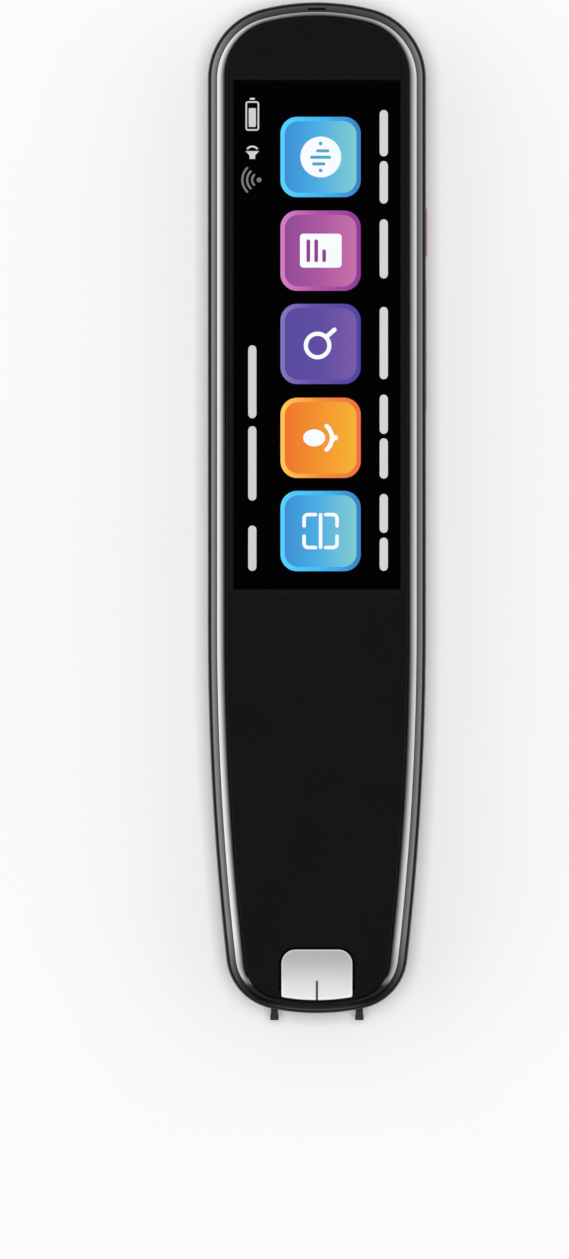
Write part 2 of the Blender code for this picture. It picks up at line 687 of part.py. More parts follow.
def tube(name, points, radius, material):
    """A round wire through points, with flat ends."""
    curve = bpy.data.curves.new(name, "CURVE")
    curve.dimensions = "3D"
    curve.bevel_depth = radius
    curve.bevel_resolution = WIRE_RESOLUTION
    curve.use_fill_caps = True
    spline = curve.splines.new("POLY")
    spline.points.add(len(points) - 1)
    for point, place in zip(spline.points, points):
        point.co = (*place, 1.0)
    curve.materials.append(material)
    wire = bpy.data.objects.new(name, curve)
    PARTS.objects.link(wire)
    return wire


def copies(name, piece, places, material):
    """One object that holds a copy of a piece at each place. The piece itself is removed."""
    bpy.context.view_layer.update()
    evaluated = piece.evaluated_get(bpy.context.evaluated_depsgraph_get())
    source = bpy.data.meshes.new_from_object(evaluated)
    source.transform(piece.matrix_world)
    bm = bmesh.new()
    for place in places:
        first = len(bm.verts)
        bm.from_mesh(source)
        bm.verts.ensure_lookup_table()
        bmesh.ops.translate(bm, vec=place, verts=bm.verts[first:])
    bpy.data.objects.remove(piece, do_unlink=True)
    mesh = mesh_from(bm, name)
    mesh.materials.clear()
    group = add_object(name, mesh, material)
    smooth(group)
    return group


def repeated(names, piece, places, material):
    """One object at each place, all sharing the mesh of a piece. The piece itself is removed."""
    group = copies(names[0] + "_shape", piece, [(0.0, 0.0, 0.0)], material)
    mesh = group.data
    bpy.data.objects.remove(group, do_unlink=True)
    made = []
    for name, place in zip(names, places):
        single = bpy.data.objects.new(name, mesh)
        single.location = place
        PARTS.objects.link(single)
        made.append(single)
    return made


def as_tool(piece):
    """Marks a piece as one that only shapes another."""
    PARTS.objects.unlink(piece)
    CUTTERS.objects.link(piece)
    piece.hide_render = True
    piece.display_type = "WIRE"


def shape_with(target, tool, operation):
    modifier = target.modifiers.new(tool.name, "BOOLEAN")
    modifier.operation = operation
    modifier.solver = "EXACT"
    modifier.object = tool
    as_tool(tool)


def cut(target, *tools):
    for tool in tools:
        shape_with(target, tool, "DIFFERENCE")


def fuse(target, *tools):
    for tool in tools:
        shape_with(target, tool, "UNION")


def joint_empty(name, place):
    empty = bpy.data.objects.new(name, None)
    empty.location = place
    PARTS.objects.link(empty)
    return empty


def carry(empty, *pieces):
    """Parents pieces to the empty on their joint's axis, where they already stand."""
    for piece in pieces:
        piece.parent = empty
        piece.location = piece.location - empty.location


# Rear shell

def shell_rings():
    """Rings from the flat back up the outside, over the lip, past the seat and down to the floor."""
    rings = []
    for step in range(EDGE_STEPS + 1):
        turn = math.pi / 2 * step / EDGE_STEPS
        inset = BACK_EDGE_INSET * (1 - math.sin(turn))
        rings.append(outline_ring(even(inset), BACK_EDGE_HEIGHT * (1 - math.cos(turn))))
    for step in range(RIM_STEPS + 1):
        turn = math.pi / 2 * step / RIM_STEPS
        insets = blend_insets(FULL_SIZE, RIM_INSETS, 1 - math.cos(turn))
        rings.append(outline_ring(insets, SIDE_TOP_Z + (LIP_TOP_Z - SIDE_TOP_Z) * math.sin(turn)))
    rings.append(outline_ring(RIM_INSETS, RING_SEAT_Z))
    rings.append(outline_ring(even(RING_SEAT_INSET), RING_SEAT_Z))
    rings.append(outline_ring(even(RING_SEAT_INSET), RING_SEAT_Z - RING_SEAT_DEPTH))
    rings.append(outline_ring(even(SIDE_WALL), SIDE_TOP_Z))
    for step in range(EDGE_STEPS, -1, -1):
        turn = math.pi / 2 * step / EDGE_STEPS
        inset = SIDE_WALL + FLOOR_EDGE_INSET * (1 - math.sin(turn))
        height = (BACK_EDGE_HEIGHT - BACK_WALL) * (1 - math.cos(turn))
        rings.append(outline_ring(even(inset), BACK_WALL + height))
    return rings


def key_outline(length, growth):
    """A key's end-rounded outline in the plane of the side wall, as y and z about its centre."""
    half_height = KEY_HALF_HEIGHT + growth
    return rounded_rectangle(length / 2 + growth, half_height, half_height, KEY_CORNER_STEPS)


def key_slot(name, centre_y, length):
    outline = moved(key_outline(length, KEY_GAP), centre_y, KEY_Z)
    low = WALL_INNER_X - OVERRUN
    return extruded(name, outline, low, HALF_WIDTH + OVERRUN, None, "X")


def socket_outline(growth):
    half_height = SOCKET_HALF_HEIGHT + growth
    half_width = SOCKET_HALF_WIDTH + growth
    return rounded_rectangle(half_width, half_height, half_height, SOCKET_CORNER_STEPS)


def screw_bore_profile():
    """The hole for a case screw, from inside its post down to the recess for its head."""
    bore = CASE_SCREW_RADIUS + SCREW_GAP
    recess = CASE_SCREW_HEAD_RADIUS + SCREW_GAP
    recess_top = CASE_SCREW_RECESS + CASE_SCREW_HEAD_HEIGHT + SCREW_GAP
    return (
        (0.0, CHASSIS_LOW_Z + OVERRUN),
        (bore, CHASSIS_LOW_Z + OVERRUN),
        (bore, recess_top),
        (recess, recess_top),
        (recess, -OVERRUN),
        (0.0, -OVERRUN),
    )


def grille_slots():
    outline = rounded_rectangle(
        GRILLE_SLOT_LENGTH / 2, GRILLE_SLOT_WIDTH / 2, GRILLE_SLOT_WIDTH / 2, GRILLE_CORNER_STEPS
    )
    slot = extruded("grille_slot", outline, -OVERRUN, BACK_WALL + OVERRUN, None)
    middle = (GRILLE_SLOTS - 1) / 2
    places = [(0.0, SPEAKER_Y + (index - middle) * GRILLE_PITCH, 0.0) for index in range(GRILLE_SLOTS)]
    return copies("grille_slots", slot, places, None)


def scan_mouth():
    half_width = HOOD_HALF_WIDTH - HOOD_WALL
    low = (-half_width, TIP_Y - OVERRUN, HEAD_LOW_Z + HOOD_WALL)
    high = (half_width, HOOD_FRONT_Y + OVERRUN, HEAD_TOP_Z - HOOD_WALL)
    return block("scan_mouth", low, high, None, MOUTH_CORNER_RADIUS)


def foot_slots():
    half_width = FOOT_HALF_WIDTH + NIB_SLOT_CLEARANCE
    low = (-half_width, TIP_Y - OVERRUN, LEG_LOW_Z - NIB_SLOT_CLEARANCE)
    high = (half_width, LEG_SHOULDER_Y, LEG_LOW_Z + LEG_HEIGHT + NIB_SLOT_CLEARANCE)
    slot = block("foot_slot", low, high, None)
    return copies("foot_slots", slot, [(FOOT_X, 0.0, 0.0), (-FOOT_X, 0.0, 0.0)], None)


def mic_holes():
    start = (0.0, BOARD_HIGH_Y, SOCKET_Z)
    end = (0.0, TOP_Y + OVERRUN, SOCKET_Z)
    hole = rod("mic_hole", start, end, MIC_HOLE_RADIUS, None, SMALL_ROUND_SIDES)
    return copies("mic_holes", hole, [(MIC_X, 0.0, 0.0), (-MIC_X, 0.0, 0.0)], None)


def top_slot():
    """The thin slot in the lip just outside the bezel ring, in the middle of the top end."""
    lip_y = TOP_Y - RIM_TOP_INSET
    low = (-TOP_SLOT_HALF_WIDTH, lip_y - RING_GROOVE, LIP_TOP_Z - TOP_SLOT_DEPTH)
    high = (TOP_SLOT_HALF_WIDTH, lip_y + TOP_SLOT_WIDTH, LIP_TOP_Z + OVERRUN)
    return block("top_slot", low, high, None)


def build_rear_shell():
    shell = lofted("rear_shell", shell_rings(), finish("shell_black", (0.012, 0.012, 0.013), 0.22))
    post_low, post_high = (0.0, 0.0, BACK_WALL - JOIN_OVERLAP), (0.0, 0.0, CHASSIS_LOW_Z - FIT_GAP)
    post = rod("case_post", post_low, post_high, POST_RADIUS, None)
    places = [(x, y, 0.0) for x, y in CASE_SCREW_PLACES]
    fuse(shell, copies("case_posts", post, places, None))
    bore = turned("screw_bore", screw_bore_profile(), None, ROUND_SIDES)
    cut(shell, copies("screw_bores", bore, places, None))
    port_low, port_high = SOCKET_REAR_Y + SOCKET_LENGTH / 2, TOP_Y + OVERRUN
    port = moved(socket_outline(PORT_CLEARANCE), 0.0, SOCKET_Z)
    cut(shell, extruded("socket_port", port, port_low, port_high, None, "Y"))
    cut(shell, key_slot("power_slot", POWER_Y, POWER_LENGTH))
    cut(shell, key_slot("rocker_slot", ROCKER_Y, ROCKER_LENGTH))
    cut(shell, grille_slots(), scan_mouth(), foot_slots(), mic_holes(), top_slot())
    return shell


# Bezel ring, tape and lens

def build_bezel_frame():
    """A bright ring with a rounded crown and a narrow ledge inside, which carries the lens."""
    rings = [outline_ring(RING_INSETS, RING_LOW_Z)]
    for inward, upward in RING_CROWN_SHARES:
        insets = blend_insets(RING_INSETS, RING_INNER_INSETS, inward)
        rings.append(outline_ring(insets, RING_LOW_Z + (RING_TOP_Z - RING_LOW_Z) * upward))
    rings.append(outline_ring(RING_INNER_INSETS, LEDGE_TOP_Z))
    rings.append(outline_ring(even(LEDGE_INSET), LEDGE_TOP_Z))
    rings.append(outline_ring(even(LEDGE_INSET), RING_LOW_Z))
    chrome = finish("bezel_bright", (0.72, 0.72, 0.73), 0.12, 1.0)
    return lofted("bezel_frame", rings, chrome, closed=True)


def window_outline(growth, low_point):
    """The sight window's outline, with round corners towards the display and a foot along the lens edge.

    Growth widens it on all sides but the foot, and low_point says how far down the foot reaches.
    """
    half_width = WINDOW_HALF_WIDTH + growth
    radius = WINDOW_CORNER_RADIUS + growth
    top = WINDOW_TOP_Y + growth
    right = (half_width - radius, top - radius)
    left = (-half_width + radius, top - radius)
    steps = WINDOW_CORNER_STEPS
    points = arc_points(right, radius, 0.0, math.pi / 2, steps)
    points.append((right[0], top))
    points += arc_points(left, radius, math.pi / 2, math.pi, steps)
    points.append((-half_width, left[1]))
    for step in range(steps + 1):
        x = half_width * (2 * step / steps - 1)
        points.append((x, low_point(x)))
    return points


def lens_foot(x):
    """How far down the lens reaches at a place across, along its own outline."""
    outline = [point for point in pen_outline(LENS_INSETS) if point[1] < TAPER_START_Y]
    half = sorted(point for point in outline if point[0] >= 0.0)
    for near, far in zip(half, half[1:]):
        if near[0] <= abs(x) <= far[0]:
            share = (abs(x) - near[0]) / (far[0] - near[0])
            return near[1] + (far[1] - near[1]) * share
    return half[-1][1]


def past_lens_foot(x):
    return lens_foot(x) - OVERRUN


def window_notch(name, low, high):
    return extruded(name, window_outline(WINDOW_GAP, past_lens_foot), low, high, None)


def build_lens_tape():
    outer = tuple(inset + TAPE_GAP for inset in LENS_INSETS)
    inner = even(LEDGE_INSET)
    top = TAPE_LOW_Z + TAPE_THICKNESS
    rings = [
        outline_ring(outer, TAPE_LOW_Z),
        outline_ring(outer, top),
        outline_ring(inner, top),
        outline_ring(inner, TAPE_LOW_Z),
    ]
    tape = lofted("lens_tape", rings, finish("tape_black", (0.02, 0.02, 0.02), 0.8), closed=True)
    cut(tape, window_notch("tape_notch", TAPE_LOW_Z - OVERRUN, top + OVERRUN))


def build_front_lens():
    chamfered = tuple(inset + LENS_CHAMFER for inset in LENS_INSETS)
    rings = [
        outline_ring(LENS_INSETS, LENS_LOW_Z),
        outline_ring(LENS_INSETS, LENS_TOP_Z - LENS_CHAMFER),
        outline_ring(chamfered, LENS_TOP_Z),
    ]
    lens = lofted("front_lens", rings, finish("lens_black", (0.009, 0.009, 0.009), 0.06))
    cut(lens, window_notch("lens_notch", LENS_LOW_Z - OVERRUN, LENS_TOP_Z + OVERRUN))
    return lens


def build_sight_window():
    silver = finish("window_silver", (0.62, 0.62, 0.63), 0.35)
    low, high = LEDGE_TOP_Z + SEAT_GAP, LENS_TOP_Z + WINDOW_PROUD
    window = extruded("sight_window", window_outline(0.0, lens_foot), low, high, silver)
    flange_top = LENS_LOW_Z - TAPE_GAP
    flange_low = (-WINDOW_FLANGE_HALF_WIDTH, WINDOW_FLANGE_LOW_Y, flange_top - WINDOW_FLANGE_THICKNESS)
    flange_high = (WINDOW_FLANGE_HALF_WIDTH, WINDOW_FLANGE_HIGH_Y, flange_top)
    fuse(window, block("window_flange", flange_low, flange_high, None))
    return window


# Display stack

def display_sheet(name, top, thickness, material):
    low = (-LCD_HALF_WIDTH, LCD_LOW_Y, top - thickness)
    return block(name, low, (LCD_HALF_WIDTH, LCD_HIGH_Y, top), material)


def build_display():
    touch = finish("touch_clear", (0.2, 0.2, 0.21), 0.05)
    display_sheet("touch_panel", TOUCH_TOP_Z, TOUCH_THICKNESS, touch)
    display_sheet("lcd_glass", LCD_TOP_Z, LCD_THICKNESS, finish("lcd_black", (0.003, 0.003, 0.003), 0.1))
    backlight = finish("backlight_white", (0.7, 0.7, 0.72), 0.4)
    display_sheet("backlight_unit", BACKLIGHT_TOP_Z, BACKLIGHT_THICKNESS, backlight)
    near, far = LCD_LOW_Y - FIT_GAP, BOARD_LOW_Y - FIT_GAP
    outline = (
        (near - FLEX_THICKNESS, FLEX_TOP_Z - FLEX_THICKNESS),
        (far, FLEX_TOP_Z - FLEX_THICKNESS),
        (far, FLEX_TOP_Z),
        (near, FLEX_TOP_Z),
        (near, LCD_TOP_Z - LCD_THICKNESS / 2),
        (near - FLEX_THICKNESS, LCD_TOP_Z - LCD_THICKNESS / 2),
    )
    half_width = DISPLAY_FLEX_WIDTH / 2
    flex = finish("flex_amber", (0.35, 0.17, 0.03), 0.4)
    extruded("display_flex", outline, DISPLAY_FLEX_X - half_width, DISPLAY_FLEX_X + half_width, flex, "X")


# Inner chassis

def build_inner_chassis():
    outline = trimmed(pen_outline(even(CHASSIS_INSET)), CHASSIS_LOW_Y, CHASSIS_HIGH_Y)
    metal = finish("chassis_metal", (0.45, 0.46, 0.47), 0.4, 1.0)
    chassis = extruded("inner_chassis", outline, CHASSIS_LOW_Z, CHASSIS_TOP_Z, metal)
    seat_half, seat_rear = SPRING_SEAT_WIDTH / 2, SPRING_SEAT_Y + SPRING_SEAT_THICKNESS
    seat_low = (-seat_half, SPRING_SEAT_Y, CHASSIS_LOW_Z - SPRING_SEAT_HEIGHT)
    seat_high = (seat_half, seat_rear, CHASSIS_LOW_Z + JOIN_OVERLAP)
    seat = block("spring_seat", seat_low, seat_high, None)
    fuse(chassis, copies("spring_seats", seat, [(FOOT_X, 0.0, 0.0), (-FOOT_X, 0.0, 0.0)], None))
    low_z, high_z = CHASSIS_LOW_Z - OVERRUN, CHASSIS_TOP_Z + OVERRUN
    start, end = (0.0, 0.0, low_z), (0.0, 0.0, high_z)
    case_hole = rod("case_hole", start, end, CASE_SCREW_RADIUS + SCREW_GAP, None)
    board_hole = rod("board_hole", start, end, BOARD_SCREW_RADIUS + SCREW_GAP, None)
    cut(chassis, copies("case_holes", case_hole, [(x, y, 0.0) for x, y in CASE_SCREW_PLACES], None))
    cut(chassis, copies("board_holes", board_hole, [(x, y, 0.0) for x, y in BOARD_SCREW_PLACES], None))
    half_slot = DISPLAY_FLEX_WIDTH / 2 + FIT_GAP
    slot_y = LCD_LOW_Y - FIT_GAP
    slot_low = (DISPLAY_FLEX_X - half_slot, slot_y - FLEX_THICKNESS - FIT_GAP, low_z)
    slot_high = (DISPLAY_FLEX_X + half_slot, slot_y + FIT_GAP, high_z)
    cut(chassis, block("flex_slot", slot_low, slot_high, None))
    return chassis


# Nib fork, springs and switch

def leg_outline():
    """One leg in plan about its own centre line: a small bulb at the foot, a neck and a wider shank."""
    bulb_y = FOOT_TIP_Y + FOOT_BULB_LENGTH
    right = [
        (FOOT_HALF_WIDTH, FOOT_TIP_Y),
        (FOOT_HALF_WIDTH, bulb_y),
        (NECK_HALF_WIDTH, bulb_y + FOOT_BULB_LENGTH / 2),
        (NECK_HALF_WIDTH, LEG_SHOULDER_Y),
        (LEG_HALF_WIDTH, LEG_SHOULDER_Y + LEG_HALF_WIDTH - NECK_HALF_WIDTH),
        (LEG_HALF_WIDTH, LEG_REAR_Y),
    ]
    return right + [(-x, y) for x, y in reversed(right)]


def build_nib_fork():
    graphite = finish("nib_graphite", (0.035, 0.037, 0.035), 0.45)
    leg_top = LEG_LOW_Z + LEG_HEIGHT
    bridge_low = HEAD_TOP_Z + FIT_GAP
    bridge_top = bridge_low + BRIDGE_HEIGHT
    front = LEG_REAR_Y - BRIDGE_DEPTH
    fork = extruded("nib_fork", moved(leg_outline(), FOOT_X, 0.0), LEG_LOW_Z, leg_top, graphite)
    fuse(fork, extruded("left_leg", moved(leg_outline(), -FOOT_X, 0.0), LEG_LOW_Z, leg_top, None))
    half = LEG_HALF_WIDTH - UPRIGHT_NARROWING
    rear = LEG_REAR_Y - UPRIGHT_NARROWING
    upright = block("upright", (-half, front, LEG_Z), (half, rear, bridge_top - UPRIGHT_NARROWING), None)
    fuse(fork, copies("uprights", upright, [(FOOT_X, 0.0, 0.0), (-FOOT_X, 0.0, 0.0)], None))
    reach = FOOT_X + LEG_HALF_WIDTH
    bridge_front = front - UPRIGHT_NARROWING
    fuse(fork, block("bridge", (-reach, bridge_front, bridge_low), (reach, LEG_REAR_Y, bridge_top), None))
    nub_low = (-PRESS_NUB_WIDTH / 2, front + UPRIGHT_NARROWING, bridge_top - JOIN_OVERLAP)
    nub_high = (PRESS_NUB_WIDTH / 2, NUB_Y, SWITCH_Z + PLUNGER_HEIGHT / 2)
    fuse(fork, block("press_nub", nub_low, nub_high, None))
    return fork


def spring_points(centre_x):
    """A helix along Y, whose first and last half turns lie flat as the ground ends of a spring do."""
    radius = SPRING_OUTER_RADIUS - SPRING_WIRE_RADIUS
    steps = SPRING_TURNS * SPRING_POINTS_PER_TURN
    start = SPRING_FRONT_Y + SPRING_WIRE_RADIUS
    run = SPRING_LENGTH - 2 * SPRING_WIRE_RADIUS
    points = []
    for step in range(steps + 1):
        angle = 2 * math.pi * step / SPRING_POINTS_PER_TURN
        x = centre_x + radius * math.cos(angle)
        z = LEG_Z + radius * math.sin(angle)
        points.append(Vector((x, start + run * step / steps, z)))
    return points


def print_least_gap(name, points, turn_points, radius):
    """Prints the least gap between turns, measured from points at least half a turn apart."""
    least = min(
        (points[i] - points[j]).length
        for i in range(len(points))
        for j in range(i + turn_points // 2 + 1, len(points))
    )
    print(f"{name}: least gap between turns {(least - 2 * radius) / MM:.2f} mm")


def build_nib_springs():
    for name, centre_x in (("nib_spring_right", FOOT_X), ("nib_spring_left", -FOOT_X)):
        points = spring_points(centre_x)
        steel = finish(name + "_steel", (0.6, 0.6, 0.62), 0.25, 1.0)
        tube(name, points, SPRING_WIRE_RADIUS, steel)
        print_least_gap(name, points, SPRING_POINTS_PER_TURN, SPRING_WIRE_RADIUS)


def build_nib_switch():
    half = SWITCH_WIDTH / 2
    low = (-half, SWITCH_FRONT_Y, SWITCH_LOW_Z)
    high = (half, SWITCH_FRONT_Y + SWITCH_LENGTH, SWITCH_LOW_Z + SWITCH_HEIGHT)
    switch = block("nib_switch", low, high, finish("switch_black", (0.02, 0.02, 0.02), 0.5))
    pocket_x = PLUNGER_WIDTH / 2 + TAPE_GAP
    pocket_z = PLUNGER_HEIGHT / 2 + TAPE_GAP
    pocket_rear = SWITCH_FRONT_Y + PLUNGER_INSIDE + NIB_TRAVEL + FIT_GAP
    pocket_low = (-pocket_x, SWITCH_FRONT_Y - OVERRUN, SWITCH_Z - pocket_z)
    cut(switch, block("plunger_pocket", pocket_low, (pocket_x, pocket_rear, SWITCH_Z + pocket_z), None))
    plunger_low = (-PLUNGER_WIDTH / 2, PLUNGER_FRONT_Y, SWITCH_Z - PLUNGER_HEIGHT / 2)
    plunger_high = (PLUNGER_WIDTH / 2, SWITCH_FRONT_Y + PLUNGER_INSIDE, SWITCH_Z + PLUNGER_HEIGHT / 2)
    tan = finish("plunger_tan", (0.5, 0.38, 0.2), 0.5)
    return block("nib_switch_plunger", plunger_low, plunger_high, tan)


def build_nib():
    fork = build_nib_fork()
    plunger = build_nib_switch()
    build_nib_springs()
    carry(joint_empty("nib_axis", (0.0, FOOT_TIP_Y, LEG_Z)), fork, plunger)


# Scanning head

def build_head_hood():
    black = finish("hood_black", (0.012, 0.012, 0.012), 0.7)
    low = (-HOOD_HALF_WIDTH, HOOD_FRONT_Y, HEAD_LOW_Z)
    hood = block("head_hood", low, (HOOD_HALF_WIDTH, HOOD_REAR_Y, HEAD_TOP_Z), black)
    inner = HOOD_HALF_WIDTH - HOOD_WALL
    tunnel_low = (-inner, HOOD_FRONT_Y - OVERRUN, HEAD_LOW_Z + HOOD_WALL)
    tunnel_high = (inner, HOOD_REAR_Y + OVERRUN, HEAD_TOP_Z - HOOD_WALL)
    cut(hood, block("hood_tunnel", tunnel_low, tunnel_high, None))
    glass_half = inner - SEAT_GAP
    glass_y = HOOD_FRONT_Y + FIT_GAP
    glass_low = (-glass_half, glass_y, HEAD_LOW_Z + HOOD_WALL + SEAT_GAP)
    glass_high = (glass_half, glass_y + SCAN_GLASS_THICKNESS, HEAD_TOP_Z - HOOD_WALL - SEAT_GAP)
    clear = finish("scan_glass_clear", (0.6, 0.65, 0.65), 0.03, alpha=0.35)
    block("scan_glass", glass_low, glass_high, clear)


def build_led_board():
    low = (-HOOD_HALF_WIDTH, LED_BOARD_FRONT_Y, HEAD_LOW_Z)
    high = (HOOD_HALF_WIDTH, LED_BOARD_REAR_Y, HEAD_TOP_Z)
    board = block("led_board", low, high, finish("led_board_green", (0.02, 0.12, 0.05), 0.5))
    start = (0.0, LED_BOARD_FRONT_Y - OVERRUN, HEAD_Z)
    end = (0.0, LED_BOARD_REAR_Y + OVERRUN, HEAD_Z)
    cut(board, rod("barrel_hole", start, end, BARREL_RADIUS + FIT_GAP, None))
    half = LED_WIDTH / 2
    rear = LED_BOARD_FRONT_Y - TAPE_GAP
    lamp = block("led", (-half, rear - LED_DEPTH, HEAD_Z - half), (half, rear, HEAD_Z + half), None)
    white = finish("led_white", (0.8, 0.8, 0.7), 0.3)
    repeated(("led_right", "led_left"), lamp, [(LED_X, 0.0, 0.0), (-LED_X, 0.0, 0.0)], white)


def build_camera():
    """Barrel and lens are turned about Z, then laid along the pen, looking at the tip."""
    inner = BARREL_RADIUS - BARREL_WALL
    cup = BARREL_LENGTH - BARREL_CUP_DEPTH
    barrel_profile = (
        (0.0, cup),
        (inner, cup),
        (inner, BARREL_LENGTH),
        (BARREL_RADIUS, BARREL_LENGTH),
        (BARREL_RADIUS, 0.0),
        (0.0, 0.0),
    )
    lens_low = cup + TAPE_GAP
    lens_top = lens_low + CAMERA_LENS_THICKNESS
    lens_profile = (
        (0.0, lens_top + CAMERA_LENS_BULGE),
        (CAMERA_LENS_RADIUS / 2, lens_top + CAMERA_LENS_BULGE * math.cos(math.pi / 6)),
        (CAMERA_LENS_RADIUS, lens_top),
        (CAMERA_LENS_RADIUS, lens_low),
        (0.0, lens_low),
    )
    barrel = turned("camera_barrel", barrel_profile, finish("barrel_black", (0.01, 0.01, 0.01), 0.4))
    lens = turned("camera_lens", lens_profile, finish("camera_glass", (0.03, 0.02, 0.05), 0.03))
    for piece in (barrel, lens):
        piece.location = (0.0, BARREL_REAR_Y, HEAD_Z)
        piece.rotation_euler = (math.pi / 2, 0.0, 0.0)
    half = CAMERA_MODULE_WIDTH / 2
    low, high = (-half, CAMERA_FRONT_Y, HEAD_LOW_Z), (half, CAMERA_REAR_Y, HEAD_TOP_Z)
    block("camera_module", low, high, finish("camera_grey", (0.06, 0.06, 0.07), 0.5))
    flex_half = CAMERA_FLEX_WIDTH / 2
    flex_low = (-flex_half, CAMERA_REAR_Y + SEAT_GAP, FLEX_TOP_Z - FLEX_THICKNESS)
    flex_high = (flex_half, BOARD_LOW_Y - FIT_GAP, FLEX_TOP_Z)
    block("camera_flex", flex_low, flex_high, finish("camera_flex_amber", (0.35, 0.17, 0.03), 0.4))


# Battery

def build_battery():
    low = (-BATTERY_HALF_WIDTH, BATTERY_LOW_Y, BATTERY_LOW_Z)
    high = (BATTERY_HALF_WIDTH, BATTERY_HIGH_Y, BATTERY_TOP_Z)
    foil = finish("battery_foil", (0.5, 0.51, 0.53), 0.35, 0.6)
    block("battery_cell", low, high, foil, BATTERY_EDGE_RADIUS)
    pad_z, half_pad = BACK_WALL + TAPE_GAP, BATTERY_PAD_HALF_WIDTH
    pad_low = (-half_pad, BATTERY_LOW_Y + BATTERY_PAD_MARGIN, pad_z)
    pad_high = (half_pad, BATTERY_HIGH_Y - BATTERY_PAD_MARGIN, pad_z + BATTERY_PAD_THICKNESS)
    block("battery_pad", pad_low, pad_high, finish("pad_white", (0.7, 0.7, 0.68), 0.8))
    plug_y = BOARD_LOW_Y + BATTERY_PLUG_ON_BOARD
    plug_low = (LEAD_X - BATTERY_PLUG_WIDTH / 2, plug_y, CHIP_TOP_Z - BATTERY_PLUG_HEIGHT)
    plug_high = (LEAD_X + BATTERY_PLUG_WIDTH / 2, plug_y + BATTERY_PLUG_LENGTH, CHIP_TOP_Z)
    block("battery_plug", plug_low, plug_high, finish("plug_ivory", (0.7, 0.66, 0.55), 0.5))
    start_y, end_y = BATTERY_HIGH_Y + FIT_GAP, plug_y - FIT_GAP
    start_z, end_z = BATTERY_TOP_Z - LEAD_START_DROP, CHIP_TOP_Z - BATTERY_PLUG_HEIGHT / 2
    for name, side, colour in (
        ("battery_lead_red", -1, (0.5, 0.01, 0.01)),
        ("battery_lead_black", 1, (0.01, 0.01, 0.01)),
    ):
        x = LEAD_X + side * LEAD_SPACING / 2
        points = []
        for step in range(LEAD_POINTS):
            share = step / (LEAD_POINTS - 1)
            eased = share * share * (3 - 2 * share)
            points.append((x, start_y + (end_y - start_y) * share, start_z + (end_z - start_z) * eased))
        tube(name, points, LEAD_RADIUS, finish(name + "_sleeve", colour, 0.45))


# Main board

def chip(name, x, y, width, length, height, material):
    low = (x - width / 2, y - length / 2, CHIP_TOP_Z - height)
    high = (x + width / 2, y + length / 2, CHIP_TOP_Z)
    return block(name, low, high, material, CHIP_BEVEL, 1)


def build_main_board():
    low = (-BOARD_HALF_WIDTH, BOARD_LOW_Y, BOARD_LOW_Z)
    high = (BOARD_HALF_WIDTH, BOARD_HIGH_Y, BOARD_TOP_Z)
    board = block("main_board", low, high, finish("board_green", (0.015, 0.1, 0.04), 0.45))
    half_notch = SOCKET_HALF_WIDTH + FIT_GAP
    notch_low = (-half_notch, SOCKET_REAR_Y - FIT_GAP, BOARD_LOW_Z - OVERRUN)
    cut(board, block("socket_notch", notch_low, (half_notch, TOP_Y, BOARD_TOP_Z + OVERRUN), None))
    start, end = (0.0, 0.0, BOARD_LOW_Z - OVERRUN), (0.0, 0.0, BOARD_TOP_Z + OVERRUN)
    hole = rod("screw_hole", start, end, BOARD_SCREW_RADIUS + SCREW_GAP, None)
    places = [(x, y, 0.0) for x, y in BOARD_SCREW_PLACES]
    cut(board, copies("screw_holes", hole, places, None))


def build_chips():
    epoxy = (0.015, 0.015, 0.016)
    processor = finish("processor_epoxy", epoxy, 0.5)
    chip("processor", 0.0, PROCESSOR_Y, PROCESSOR_WIDTH, PROCESSOR_WIDTH, PROCESSOR_HEIGHT, processor)
    memory = finish("memory_epoxy", epoxy, 0.5)
    chip("memory_chip", 0.0, MEMORY_Y, MEMORY_WIDTH, MEMORY_LENGTH, MEMORY_HEIGHT, memory)
    power = finish("power_chip_epoxy", epoxy, 0.5)
    width = POWER_CHIP_WIDTH
    chip("power_chip", POWER_CHIP_X, POWER_CHIP_Y, width, width, POWER_CHIP_HEIGHT, power)
    tin = finish("shield_tin", (0.6, 0.6, 0.6), 0.3, 1.0)
    chip("wireless_shield", 0.0, SHIELD_Y, SHIELD_WIDTH, SHIELD_LENGTH, SHIELD_HEIGHT, tin)


def build_board_connectors():
    near = BOARD_LOW_Y + CONNECTOR_ON_BOARD
    half = CAMERA_FLEX_WIDTH / 2
    low = (-half, near, CHIP_TOP_Z - CONNECTOR_HEIGHT)
    socket = block("connector", low, (half, near + CONNECTOR_LENGTH, CHIP_TOP_Z), None, CHIP_BEVEL, 1)
    ivory = finish("connector_ivory", (0.65, 0.62, 0.52), 0.5)
    names = ("camera_connector", "display_connector")
    repeated(names, socket, [(0.0, 0.0, 0.0), (DISPLAY_FLEX_X, 0.0, 0.0)], ivory)


def build_board_screws():
    top = CHASSIS_TOP_Z - SEAT_GAP
    head_top = BOARD_LOW_Z - TAPE_GAP
    profile = (
        (0.0, top),
        (BOARD_SCREW_RADIUS, top),
        (BOARD_SCREW_RADIUS, head_top),
        (BOARD_SCREW_HEAD_RADIUS, head_top),
        (BOARD_SCREW_HEAD_RADIUS, head_top - BOARD_SCREW_HEAD_HEIGHT),
        (0.0, head_top - BOARD_SCREW_HEAD_HEIGHT),
    )
    screw = turned("board_screw", profile, None, SMALL_ROUND_SIDES)
    steel = finish("board_screw_steel", (0.5, 0.5, 0.5), 0.3, 1.0)
    names = ("board_screw_high", "board_screw_low")
    repeated(names, screw, [(x, y, 0.0) for x, y in BOARD_SCREW_PLACES], steel)


